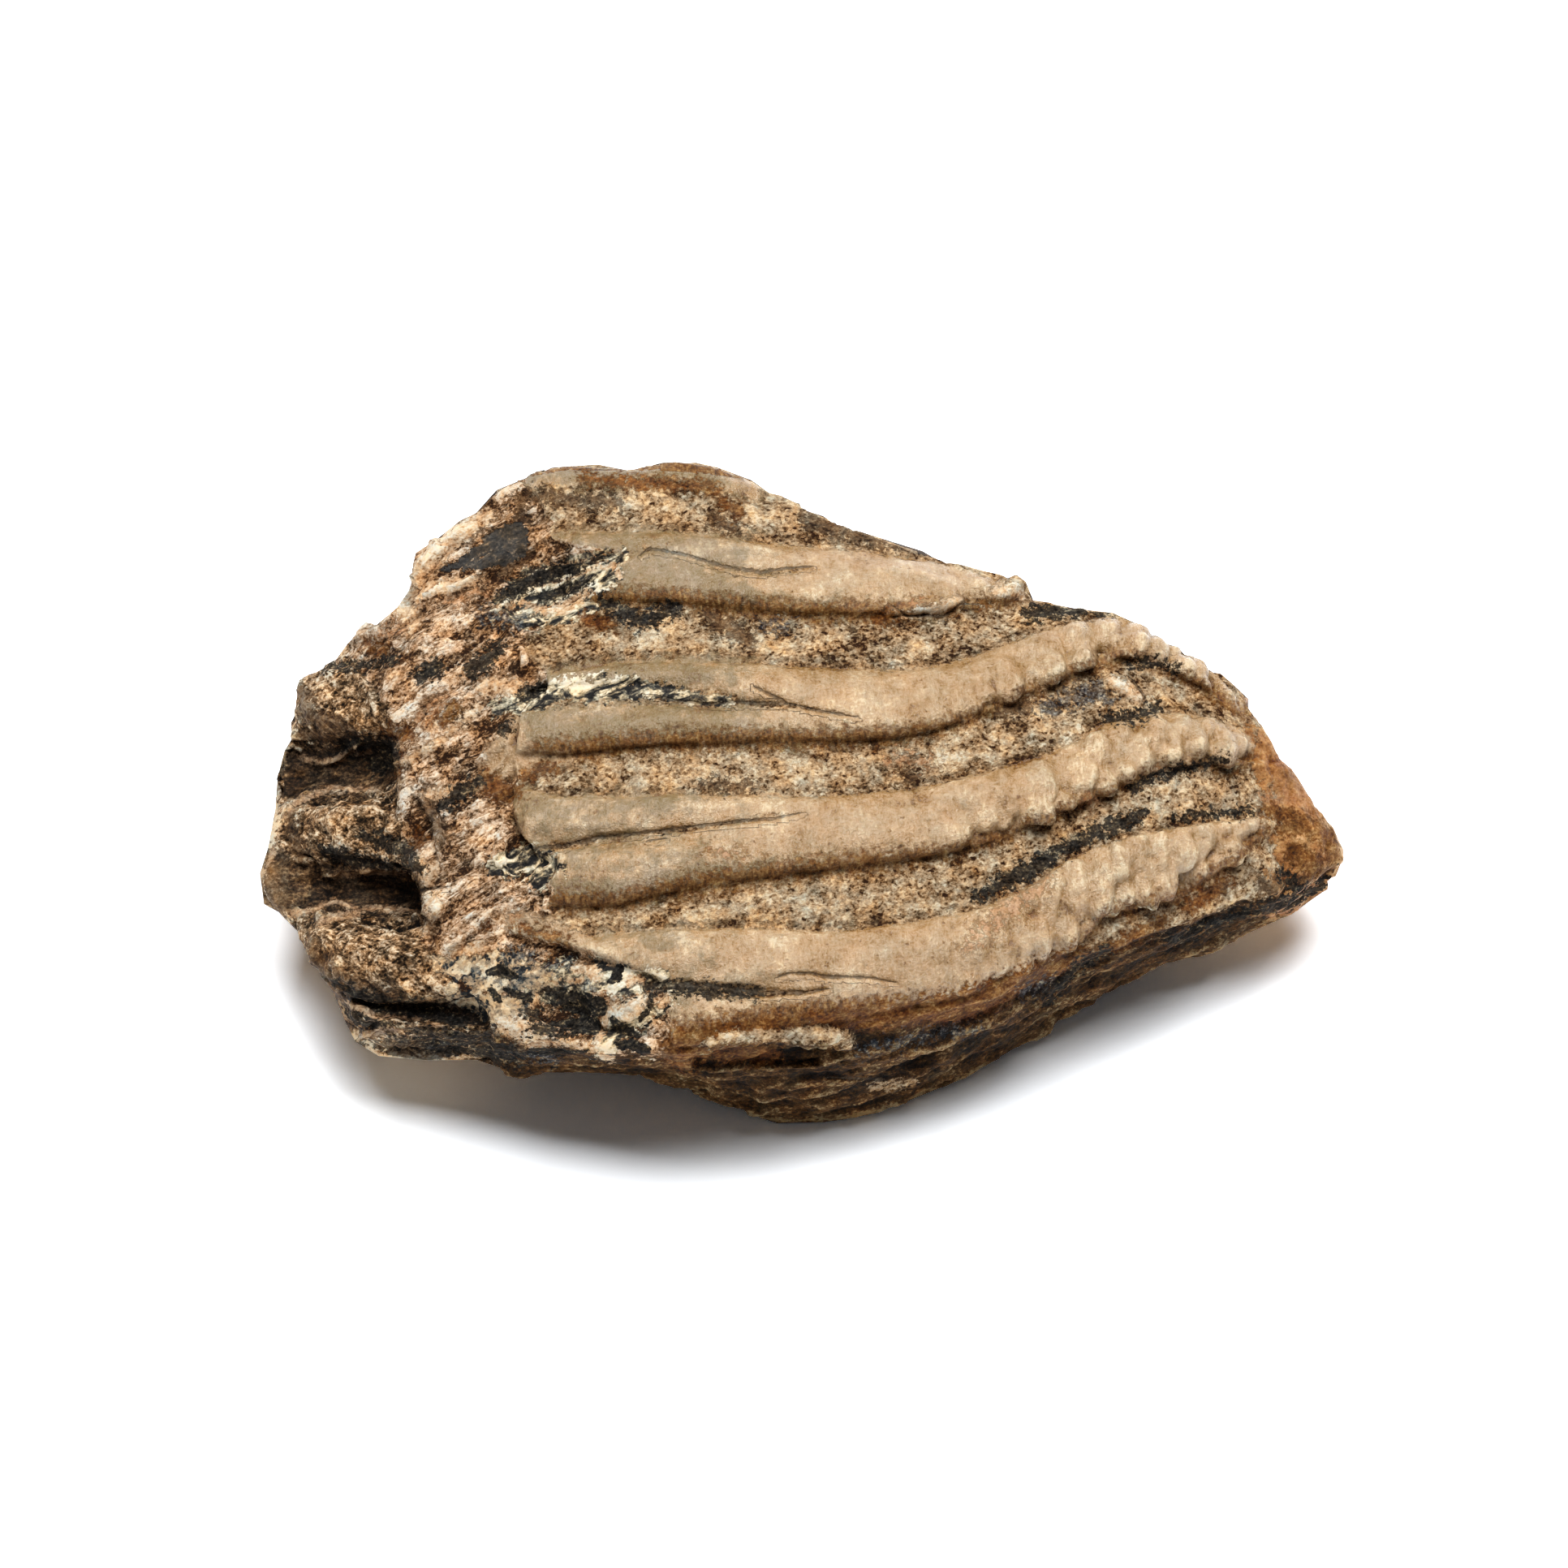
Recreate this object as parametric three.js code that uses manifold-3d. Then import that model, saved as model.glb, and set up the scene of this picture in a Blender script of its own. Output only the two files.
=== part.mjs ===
// A broken piece of a woolly mammoth's cheek tooth, lying on a table with its ridged side up.
// Four enamel-wrapped plates run the length of the piece, with bands of cement between them. At the left
// the plates open into the lobes and pulp canals of the root end; at the right they bend down to the
// rounded crown tip. The tooth grew as one thing, so it is one solid.
import * as THREE from "three";
import Module from "manifold-3d";
import { mergeVertices } from "three/addons/utils/BufferGeometryUtils.js";

const wasm = await Module();
wasm.setup();

// All lengths are millimetres. The piece is drawn on a page that is looked down on from in front:
// u runs to the right along the plates, v runs up the page, and each point has a height above the table.
const LOOK_DOWN = THREE.MathUtils.degToRad(55);
const LEFT_END = -44.6;
const RIGHT_END = 44.6;
const PAGE_Y = 9.35; // where the page's zero lies, so that the piece is centred over the origin

// Sections across the piece: from each u on, one every so many millimetres.
const SECTION_SPACING = [
  [LEFT_END, 0.85],
  [-34, 1.25],
  [-20, 2.1],
  [16, 1.1],
  [21, 1.9],
  [33, 1.2],
];
// Rows of the mesh between one line along the piece and the next, from the far rim to the front edge.
const FACE_ROWS = [2, 2, 6, 3, 8, 4, 9, 4, 9, 2];
const WALL_ROWS = 9;
const UNDERSIDE_ROWS = 6;
const FAR_WALL_ROWS = 7;

const LEAST_ROW_GAP = 0.3; // between two of those lines, where they meet
const WIDE_PLATE = 1.5; // a plate over this width has its rows crowded at its sides

const PLATE_RELIEF = 1.6; // how far an enamel ridge stands out of the cement
const RIM_WIDTH = 1.7; // the enamel of the next plate, just showing along the far rim
const RIM_RELIEF = 0.9;
const FOOT_ROUNDING = 1.2; // where the walls turn under
const HOLE_RADIUS = 1.5; // of the canals, where they go in
const HOLE_LENGTH = 4.5;
const HOLE_SIDES = 12;

const { clamp, lerp, smoothstep } = THREE.MathUtils;
const sum = (values) => values.reduce((total, value) => total + value, 0);

// 1 between two places, easing to 0 at each of them.
function between(value, from, to, ease) {
  return smoothstep(value, from, from + ease) * (1 - smoothstep(value, to - ease, to));
}

// A smooth curve through [position, value] pairs that never overshoots them.
function curveThrough(points) {
  const slopes = points.slice(1).map(([x, y], i) => (y - points[i][1]) / (x - points[i][0]));
  const tangents = points.map((_, i) => {
    const [before, after] = [slopes[i - 1] ?? slopes[i], slopes[i] ?? slopes[i - 1]];
    return before * after <= 0 ? 0 : (2 * before * after) / (before + after);
  });
  return (x) => {
    const last = points.length - 2;
    let i = 0;
    while (i < last && x > points[i + 1][0]) i += 1;
    const [[x0, y0], [x1, y1]] = [points[i], points[i + 1]];
    const span = x1 - x0;
    const t = clamp((x - x0) / span, 0, 1);
    const rise = tangents[i] * span * t * (1 - t) ** 2 - tangents[i + 1] * span * t ** 2 * (1 - t);
    return y0 + (y1 - y0) * t * t * (3 - 2 * t) + rise;
  };
}

// The outline on the page: its upper side, its lower side, and the edge between the ridged side and the
// front wall below it.
const upperOutline = curveThrough([
  [-44.7, -7.2], [-44.4, -5.5], [-43.9, -4.5], [-43.3, -0.5], [-43.1, 2.8], [-42.1, 4.3], [-41.7, 7.0],
  [-40.8, 9.3], [-39.2, 10.8], [-37.3, 11.0], [-37.1, 12.5], [-35.9, 13.7], [-32.7, 15.7], [-32.1, 18.1],
  [-29.9, 20.7], [-25.9, 23.9], [-23.2, 26.1], [-20.3, 26.9], [-15.2, 26.6], [-10.9, 27.2], [-6.2, 26.4],
  [-1.9, 24.7], [1.8, 22.5], [7.5, 20.6], [13.5, 18.5], [17.8, 17.3], [18.9, 15.7], [23.5, 15.1],
  [27.5, 13.9], [30.1, 12.5], [35.5, 8.8], [36.9, 6.9], [38.3, 4.4], [40.8, 1.3], [42.5, -1.5],
  [43.8, -2.8], [44.5, -4.2], [44.7, -5.0],
]);
const lowerOutline = curveThrough([
  [-44.7, -7.8], [-44.1, -9.0], [-42.9, -10.0], [-40.5, -10.9], [-40.1, -13.0], [-38.7, -15.9],
  [-37.3, -17.7], [-36.9, -20.4], [-36.1, -21.2], [-32.5, -21.9], [-25.9, -22.1], [-22.5, -23.1],
  [-14.5, -23.0], [-9.2, -24.3], [-6.9, -25.7], [-5.5, -25.8], [-3.2, -26.9], [-0.2, -27.3], [4.8, -26.7],
  [9.5, -25.1], [14.1, -23.1], [20.8, -19.1], [26.1, -16.1], [30.1, -14.3], [32.8, -13.3], [38.1, -11.1],
  [40.8, -10.1], [42.0, -8.8], [43.6, -8.1], [44.3, -6.8], [44.7, -5.6],
]);
const frontEdge = curveThrough([
  [-44.7, -7.6], [-42.9, -9.6], [-39.2, -15.2], [-36.9, -18.2], [-32.5, -18.6], [-28.5, -19.0],
  [-23.2, -19.9], [-15.2, -21.2], [-10.8, -21.5], [-7.8, -20.9], [-0.3, -19.5], [7.5, -18.2],
  [15.4, -16.5], [22.8, -13.0], [29.5, -11.2], [36.1, -8.9], [40.8, -7.7], [44.7, -5.4],
]);

// Heights above the table of those three lines, of the underside, and how much the ridged side bulges
// between its edges.
const upperHeight = curveThrough([
  [-44.7, 12.0], [-43, 13.8], [-41.5, 15.2], [-39, 17], [-37, 18.5], [-33, 21.5], [-29.5, 23.5], [-23, 25.2],
  [-12, 26], [0, 25.2], [12, 23.8], [20, 22.6], [28, 21], [35, 18.4], [38.5, 16.6], [41.5, 14], [44.7, 10.6],
]);
const lowerHeight = curveThrough([
  [-44.7, 10.6], [-43, 8.2], [-40, 7], [-36, 6], [-26, 5], [-16, 3.4], [-9, 1.6], [-4, 0.3], [1, 0],
  [12, 0], [20, 0.8], [28, 2.4], [36, 4.6], [41, 6.6], [43.5, 8.2], [44.7, 10],
]);
const edgeHeight = curveThrough([
  [-44.7, 11.2], [-42.9, 12.2], [-39.2, 13.2], [-34, 14.2], [-26, 15.8], [-16, 16.8], [-6, 17], [4, 16.4],
  [16, 15.8], [26, 15], [34, 13.6], [40, 12], [43.5, 10.8], [44.7, 10.3],
]);
const undersideHeight = curveThrough([
  [-44.7, 10.8], [-43, 8.4], [-40, 7], [-34, 5.6], [-26, 4], [-19, 1.6], [-14, 0.2], [-12, 0], [22, 0],
  [25, 0.4], [30, 2], [36, 4.4], [41, 7], [44.7, 10.2],
]);
const crown = curveThrough([
  [-44.7, 0], [-40, 1.2], [-32, 2], [-20, 2.6], [0, 3.2], [24, 2.8], [36, 1.8], [44.7, 0],
]);
const farFootSetback = curveThrough([
  [-44.7, 0], [-40, 0.6], [-30, 2], [-10, 3], [16, 3], [32, 1.6], [44.7, 0],
]);

// The four plates that show as ridges. Each has the line of its upper and of its lower side. At the left
// these lines run on as the sides of the plate's root lobe.
const plates = [
  {
    upper: [[-37, 13.2], [-33, 15.2], [-28, 19], [-23, 20.8], [-18.5, 21.5], [-12.5, 21.5], [-2.3, 20.5],
      [9.1, 19.3], [15.5, 17.6], [18.8, 16.3]],
    lower: [[-41, 9.6], [-37, 10.4], [-33, 11.2], [-26, 13.4], [-17.2, 15.6], [-12.5, 15.6], [-2.3, 14.6],
      [5.3, 14.5], [14.5, 15.4], [18.8, 15.7]],
    enamel: [-19.5, 18.8],
    lobe: 0,
  },
  {
    upper: [[-42.5, 8], [-38, 9.8], [-33, 9.7], [-27, 9.3], [-21.2, 9.9], [-12.5, 10.9], [-2.3, 10.5],
      [7.9, 10.1], [14.3, 11.3], [20.6, 13.6], [25.5, 14.5], [29, 13.3], [33.3, 10.4], [36.4, 7.2]],
    lower: [[-43.2, 3.3], [-38, 3.6], [-33.5, 3.9], [-27, 3.2], [-20.5, 3.1], [-12.3, 3.8], [1.8, 4.1],
      [7.5, 4.4], [14.1, 6.1], [22, 9.3], [26.3, 11.1], [29, 10.6], [32.2, 8.9], [36.4, 6.2]],
    enamel: [-24.8, 36.4],
    lobe: 1.9,
  },
  {
    upper: [[-43.5, -0.5], [-38, -0.2], [-33, 0.5], [-27, 0.8], [-22.5, 0.4], [-19.5, -0.3], [-8.9, -0.1],
      [-0.3, -0.3], [7.5, 0.2], [14.1, 1.5], [22.7, 4.3], [24.7, 5.7], [30.1, 6.6], [35.4, 5.5], [38.4, 2.8]],
    lower: [[-43.5, -4.8], [-40, -6.2], [-35, -6.4], [-31, -6.6], [-26, -8.2], [-20.6, -9.3], [-16.3, -9.3],
      [-9.9, -8.1], [-2.5, -6.9], [7.5, -5.7], [14.3, -4.4], [20.5, -2.1], [26.9, 0.8], [32.2, 2.3], [38.4, 2]],
    enamel: [-23.4, 38.4],
    lobe: 2.1,
  },
  {
    upper: [[-43, -9.3], [-40, -10], [-35, -9.9], [-31, -9.9], [-26, -11], [-19.5, -12.3], [-13.1, -11.3],
      [-4.6, -11], [1.8, -11.3], [7.5, -10.7], [13.3, -9.7], [19, -7.3], [21.6, -5.5], [27.7, -3.4],
      [32.2, -2.6], [38.4, -1.8]],
    lower: [[-40, -13.2], [-37.6, -16.2], [-32, -16.7], [-25, -17.6], [-18, -19.6], [-12, -21], [-7.8, -20.6],
      [-0.3, -19.3], [7.5, -17.8], [15.4, -16.1], [22.8, -12.5], [25, -9.9], [29, -9.2], [32.2, -7.7],
      [38.4, -3.4]],
    enamel: [-19, 38.4],
    lobe: 2.7,
  },
].map((plate) => ({ ...plate, upper: curveThrough(plate.upper), lower: curveThrough(plate.lower) }));

// The slits where a plate's two enamel walls part towards the root, each along a line.
const slits = [
  { line: [[-19, 18.6], [-12, 19.4], [-4.4, 18.2]], depth: 0.7, width: 0.7 },
  { line: [[-22.5, 7.9], [-12.5, 8.1], [-5, 7.2], [3.9, 6.3]], depth: 1.1, width: 1.2 },
  { line: [[-23, -4.4], [-15.5, -3.6], [-8.9, -2.8], [-1.9, -2.2]], depth: 1.2, width: 1.0 },
  { line: [[-12.5, -15.8], [-6.7, -15.8], [-0.3, -16.3], [2.6, -15.9]], depth: 1.0, width: 0.9 },
].map((slit) => ({ ...slit, from: slit.line[0][0], to: slit.line.at(-1)[0], line: curveThrough(slit.line) }));

// The pulp canals that lie open between two root lobes.
const canals = [
  { above: plates[1].lower, below: plates[2].upper, from: -44, depth: 2.9, hole: [-33.2, 2.2] },
  { above: plates[2].lower, below: plates[3].upper, from: -42, depth: 3.1, hole: [-31.3, -8.2] },
  { above: plates[3].lower, below: frontEdge, from: -38, depth: 2.2 },
];

// The step where the ridged side is broken off above the root end: its u for each v, and its depth.
const brokenStep = curveThrough([
  [-19, -25.2], [-17.5, -25.9], [-15.9, -27.9], [-13.5, -29.9], [-11.5, -31.1], [-8.2, -31.2], [-6.5, -31.9],
  [-4.2, -32.7], [0.1, -33.3], [4.1, -33.4], [7.1, -34.2], [12, -38],
]);
const stepDepth = curveThrough([[-19, 0.6], [-15, 1.8], [-11, 2.8], [0, 3], [5, 2.4], [8.5, 0.7], [12, 0]]);

// Rounded bumps and dents, each an ellipse on the page with a height out of it.
const lumps = {
  rootKnob: { at: [-42.4, -7.2], size: [2.4, 2.6], turn: 0, height: 1.1 },
  wornWedgeOfDentine: { at: [-27, 20], size: [3.6, 1.3], turn: 32, height: -0.8 },
  dentAtFirstPlate: { at: [-21.5, 17], size: [4, 1.8], turn: 12, height: -0.8 },
  splinteredHollow: { at: [-17.5, -18], size: [5.2, 2.2], turn: -12, height: -1.7 },
  splinteredBlock: { at: [-13.7, -18.4], size: [1.9, 2.2], turn: 0, height: 1.1 },
  stepBeforeCrownTip: { at: [39.6, -3.2], size: [1.4, 3.2], turn: 0, height: -0.6 },
  crownTip: { at: [42.4, -4], size: [2.6, 2.8], turn: 0, height: 0.7 },
};

// Ledges and hollows that run along the front wall, at a share of the way down it.
const wallFolds = {
  crustLedge: { down: 0.08, width: 0.1, from: -8, to: 6, height: 0.8 },
  hollowUnderCrust: { down: 0.27, width: 0.13, from: -11, to: 6, height: -1.3 },
  grooveBelowLastPlate: { down: 0.2, width: 0.12, from: 7, to: 38, height: -0.9 },
  longLedge: { down: 0.42, width: 0.12, from: 4, to: 40, height: 0.5 },
  belly: { down: 0.65, width: 0.22, from: -12, to: 26, height: 0.9 },
  lowestLobeFlank: { down: 0.35, width: 0.2, from: -38, to: -18, height: 0.7 },
};

// A plate's enamel stands out as a full round ridge, lower where it is narrow. Left of the broken step
// the same plate is a root lobe.
function plateRelief({ upper, lower, enamel, lobe }, u, v) {
  const half = Math.max((upper(u) - lower(u)) / 2, 0.3);
  const across = Math.abs(v - lower(u) - half) / half;
  if (across >= 1) return 0;
  const height = PLATE_RELIEF * Math.min(1, half / 2);
  const ridge = height * Math.sqrt(1 - across ** 2.8) * between(u, ...enamel, 1);
  const root = lobe * Math.sqrt(1 - across ** 2.2) * smoothstep(brokenStep(v) - u, 0.2, 1.4);
  return ridge + root;
}

// A slit is cut deepest at its left and runs out to the right.
function slitRelief({ line, from, to, depth, width }, u, v) {
  const along = smoothstep(u, from - 1.5, from) * (1 - smoothstep(u, from + 0.5 * (to - from), to));
  return -depth * along * Math.exp(-(((v - line(u)) / width) ** 4));
}

// A canal deepens from the root's end to where it goes in under the broken step.
function canalRelief({ above, below, from, depth }, u, v) {
  const half = Math.max((above(u) - below(u)) / 2, 0.3);
  const across = Math.abs(v - below(u) - half) / half;
  if (across >= 1 || u < from) return 0;
  const deepening = 0.3 + 0.7 * smoothstep(u, from, -35);
  return -depth * deepening * Math.sqrt(1 - across ** 2) * smoothstep(brokenStep(v) - u, -0.2, 0.5);
}

function lumpRelief({ at, size, turn, height }, u, v) {
  const angle = THREE.MathUtils.degToRad(turn);
  const [du, dv] = [u - at[0], v - at[1]];
  const along = (du * Math.cos(angle) + dv * Math.sin(angle)) / size[0];
  const across = (dv * Math.cos(angle) - du * Math.sin(angle)) / size[1];
  return height * Math.exp(-((along ** 2 + across ** 2) ** 2));
}

// Everything that stands out of the smooth ridged side, or is sunk in it.
function faceRelief(u, v) {
  const insideRim = upperOutline(u) - v - RIM_WIDTH;
  const rim = RIM_RELIEF * (1 - smoothstep(insideRim, -0.4, 0.3)) * between(u, -25, -2.5, 3);
  return sum([
    ...plates.map((plate) => plateRelief(plate, u, v)),
    ...slits.map((slit) => slitRelief(slit, u, v)),
    ...canals.map((canal) => canalRelief(canal, u, v)),
    ...Object.values(lumps).map((lump) => lumpRelief(lump, u, v)),
    rim - smoothstep(brokenStep(v) - u, -0.3, 0.7) * stepDepth(v),
  ]);
}

function wallRelief(u, down) {
  return sum(Object.values(wallFolds).map((fold) => {
    const across = (down - fold.down) / fold.width;
    return fold.height * between(u, fold.from, fold.to, 3) * Math.exp(-(across ** 2));
  }));
}

// Gentle unevenness for the sides that have no ridges.
function unevenness(x, y, z) {
  const slow = Math.sin(0.31 * x + 0.17 * z + 1.1) * Math.cos(0.23 * y - 0.29 * z + 0.4);
  const quick = Math.sin(0.83 * x - 0.41 * y) * Math.sin(0.67 * z + 0.37 * x + 2);
  return 0.45 * slow + 0.3 * quick;
}

// A point of the page at a height above the table, moved out of the page by its relief.
function onPage(u, v, height, relief = 0) {
  const depth = (v - height * Math.cos(LOOK_DOWN)) / Math.sin(LOOK_DOWN);
  return new THREE.Vector3(
    u,
    depth - relief * Math.cos(LOOK_DOWN) + PAGE_Y,
    Math.max(0, height + relief * Math.sin(LOOK_DOWN)),
  );
}

// Height of the smooth ridged side, from its front edge to the upper outline.
function faceHeight(u, v) {
  const across = clamp((v - frontEdge(u)) / (upperOutline(u) - frontEdge(u)), 0, 1);
  return lerp(edgeHeight(u), upperHeight(u), across) + crown(u) * 4 * across * (1 - across);
}

// The v of every mesh row at one u. The rows keep to the lines along the piece, so that each ridge has
// its own rows, crowded at its two sides.
function rowHeights(u) {
  const [top, edge] = [upperOutline(u), frontEdge(u)];
  const lines = [top, top - RIM_WIDTH, ...plates.flatMap(({ upper, lower }) => [upper(u), lower(u)]), edge];
  const last = lines.length - 1;
  const gap = Math.min(LEAST_ROW_GAP, (0.7 * (top - edge)) / last);
  const kept = [top];
  for (let k = 1; k <= last; k += 1) {
    kept.push(Math.max(Math.min(lines[k], kept[k - 1] - gap), edge + gap * (last - k)));
  }
  const rows = FACE_ROWS.flatMap((count, k) =>
    Array.from({ length: count }, (_, i) => {
      const even = i / count;
      const crowded = (1 - Math.cos(Math.PI * even)) / 2;
      const isWidePlate = k % 2 === 0 && kept[k] - kept[k + 1] > WIDE_PLATE;
      return lerp(kept[k], kept[k + 1], isWidePlate ? crowded : even);
    }),
  );
  return [...rows, edge];
}

// Sections near the broken step bend, so that the step has rows of its own too.
function bentU(place, v) {
  const bend = clamp(brokenStep(v), -34.5, -25) + 33;
  return place + bend * smoothstep(place, -42, -35) * (1 - smoothstep(place, -32, -8));
}

// One section across the piece: down the ridged side and the front wall, back along the underside, and
// up the far wall.
function section(place) {
  const points = rowHeights(place).map((firstV, i) => {
    let [u, v] = [place, firstV];
    for (let step = 0; step < 4; step += 1) {
      u = bentU(place, v);
      v = rowHeights(u)[i];
    }
    const thinEnd = smoothstep(u, LEFT_END, LEFT_END + 3) * smoothstep(RIGHT_END - u, 0, 2);
    const inside = smoothstep(upperOutline(u) - v, 0, 1.5) * thinEnd;
    return onPage(u, v, faceHeight(u, v), faceRelief(u, v) * inside);
  });
  const nearU = bentU(place, -20);
  const [edge, bottom] = [frontEdge(nearU), lowerOutline(nearU)];
  for (let i = 1; i <= WALL_ROWS; i += 1) {
    const down = i / WALL_ROWS;
    const v = lerp(edge, bottom, down);
    const height = lerp(edgeHeight(nearU), lowerHeight(nearU), down ** 1.15);
    const kept = smoothstep(1 - down, 0, 0.3) * between(nearU, LEFT_END, RIGHT_END, 4);
    const relief = (faceRelief(nearU, v) * (1 - down) ** 2 + wallRelief(nearU, down)) * kept;
    points.push(onPage(nearU, v, height, relief));
  }

  const near = points.at(-1);
  const far = points[0];
  const base = undersideHeight(far.x);
  const footY = far.y + farFootSetback(far.x);
  const thick = far.z - base;
  const farWall = new THREE.CubicBezierCurve3(
    new THREE.Vector3(far.x, footY - FOOT_ROUNDING, base),
    new THREE.Vector3(far.x, footY + 0.1 * thick, base + 0.1 * thick),
    new THREE.Vector3(far.x, far.y + 0.16 * thick, far.z - 0.3 * thick),
    far,
  );
  for (let i = 1; i <= UNDERSIDE_ROWS; i += 1) {
    const back = i / (UNDERSIDE_ROWS + 1);
    const x = lerp(near.x, far.x, back);
    const y = lerp(near.y + FOOT_ROUNDING, footY - FOOT_ROUNDING, back);
    const height = undersideHeight(x);
    points.push(new THREE.Vector3(x, y, height + Math.abs(unevenness(x, y, 0)) * smoothstep(height, 0, 3)));
  }
  for (let i = 0; i < FAR_WALL_ROWS; i += 1) {
    const point = farWall.getPoint(i / FAR_WALL_ROWS);
    point.y += unevenness(point.x, point.y, point.z) * smoothstep(i, 0, 2) * smoothstep(thick, 2, 8);
    points.push(point);
  }
  return points;
}

// Skins a row of sections with triangles, and closes both ends on their middle points.
function loft(sections) {
  const [rows, count] = [sections.length, sections[0].length];
  const middle = (ring) => ring.reduce((total, p) => total.add(p), new THREE.Vector3()).divideScalar(count);
  const points = [...sections.flat(), middle(sections[0]), middle(sections.at(-1))];
  const faces = [];
  for (let k = 0; k < count; k += 1) {
    const next = (k + 1) % count;
    for (let row = 0; row + 1 < rows; row += 1) {
      const [a, b] = [row * count + k, row * count + next];
      faces.push(a, b, a + count, b, b + count, a + count);
    }
    const lastRow = (rows - 1) * count;
    faces.push(rows * count, next, k, rows * count + 1, lastRow + k, lastRow + next);
  }
  return new THREE.BufferGeometry().setFromPoints(points).setIndex(faces);
}

function sectionPlaces() {
  const places = [];
  SECTION_SPACING.forEach(([from, spacing], i) => {
    const to = SECTION_SPACING[i + 1]?.[0] ?? RIGHT_END;
    const count = Math.round((to - from) / spacing);
    for (let k = 0; k < count; k += 1) places.push(lerp(from, to, k / count));
  });
  return [...places, RIGHT_END];
}

// Where a canal goes in under the broken step: a blind, tapered hole.
function canalHole({ depth, hole: [u, v] }) {
  const sunk = stepDepth(v) + 0.55 * depth;
  const mouth = onPage(u - 2.2, v, faceHeight(u, v), -sunk + 0.6);
  const end = onPage(u + HOLE_LENGTH, v, faceHeight(u, v), -sunk - 0.8);
  const axis = end.clone().sub(mouth);
  const hole = new THREE.CylinderGeometry(HOLE_RADIUS * 0.5, HOLE_RADIUS, axis.length(), HOLE_SIDES);
  const upright = new THREE.Vector3(0, 1, 0);
  hole.applyQuaternion(new THREE.Quaternion().setFromUnitVectors(upright, axis.normalize()));
  const centre = mouth.clone().add(end).divideScalar(2);
  return hole.translate(centre.x, centre.y, centre.z);
}

function toManifold(geometry) {
  const bare = new THREE.BufferGeometry().setAttribute("position", geometry.getAttribute("position"));
  const merged = mergeVertices(bare.setIndex(geometry.index), 1e-4);
  return new wasm.Manifold(
    new wasm.Mesh({
      numProp: 3,
      vertProperties: new Float32Array(merged.getAttribute("position").array),
      triVerts: new Uint32Array(merged.index.array),
    }),
  );
}

function toGeometry(manifold) {
  const { vertProperties, triVerts } = manifold.getMesh();
  const geometry = new THREE.BufferGeometry();
  geometry.setAttribute("position", new THREE.BufferAttribute(vertProperties, 3));
  geometry.setIndex(new THREE.BufferAttribute(triVerts, 1));
  geometry.computeVertexNormals();
  return geometry;
}

const body = toManifold(loft(sectionPlaces().map(section)));
const opened = canals.filter(({ hole }) => hole).reduce(
  (solid, canal) => solid.subtract(toManifold(canalHole(canal))),
  body,
);

const fossil = new THREE.MeshStandardMaterial({ color: 0xb89a6c, roughness: 0.6, metalness: 0 });
const molar = new THREE.Mesh(toGeometry(opened), fossil);
molar.name = "molar_slice";

const piece = new THREE.Group();
piece.add(molar);
export default piece;
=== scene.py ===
import math

import bpy
import numpy as np
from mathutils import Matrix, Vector


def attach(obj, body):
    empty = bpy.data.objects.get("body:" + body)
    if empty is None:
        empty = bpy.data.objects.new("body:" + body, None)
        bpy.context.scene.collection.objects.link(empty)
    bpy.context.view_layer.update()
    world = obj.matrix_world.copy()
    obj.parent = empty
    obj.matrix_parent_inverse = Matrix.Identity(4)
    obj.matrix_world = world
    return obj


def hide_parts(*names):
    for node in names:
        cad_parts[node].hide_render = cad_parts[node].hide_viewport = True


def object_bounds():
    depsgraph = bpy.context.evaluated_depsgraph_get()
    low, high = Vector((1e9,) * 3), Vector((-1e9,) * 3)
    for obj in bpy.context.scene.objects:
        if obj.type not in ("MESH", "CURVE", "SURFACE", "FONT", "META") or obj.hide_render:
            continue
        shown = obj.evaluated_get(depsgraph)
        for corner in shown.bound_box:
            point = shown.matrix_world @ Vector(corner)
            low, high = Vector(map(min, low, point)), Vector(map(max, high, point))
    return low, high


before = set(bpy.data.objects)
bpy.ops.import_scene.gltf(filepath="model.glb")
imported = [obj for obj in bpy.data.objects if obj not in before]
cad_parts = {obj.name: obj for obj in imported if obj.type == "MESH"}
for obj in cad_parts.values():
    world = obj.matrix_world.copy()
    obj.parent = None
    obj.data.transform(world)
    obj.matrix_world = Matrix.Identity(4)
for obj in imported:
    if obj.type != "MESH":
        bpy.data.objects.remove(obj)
cad_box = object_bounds()

# The fossil tooth
# A piece of a mammoth's cheek tooth that grew as one body of enamel, dentine and cement, and turned to
# stone in the ground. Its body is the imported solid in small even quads, so that the fluting of the
# enamel and the crumbs of the breaks can be worked into them.
EVEN_QUAD = 0.25e-3
MOST_TRIANGLES = 188000
bpy.ops.object.select_all(action="DESELECT")
tooth = bpy.data.objects.new("fossil_molar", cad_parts["molar_slice"].data.copy())
bpy.context.collection.objects.link(tooth)
bpy.context.view_layer.objects.active = tooth
tooth.select_set(True)
tooth.data.materials.clear()
bpy.ops.object.mode_set(mode="EDIT")
bpy.ops.mesh.select_all(action="SELECT")
bpy.ops.mesh.remove_doubles(threshold=1e-6)
bpy.ops.object.mode_set(mode="OBJECT")


def finish_with(kind, **settings):
    """Adds a modifier to the tooth and applies it."""
    modifier = tooth.modifiers.new(kind.lower(), kind)
    for name, value in settings.items():
        setattr(modifier, name, value)
    bpy.ops.object.modifier_apply(modifier=modifier.name)


finish_with("REMESH", mode="VOXEL", voxel_size=EVEN_QUAD)
finish_with("SMOOTH", factor=0.5, iterations=10)

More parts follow.
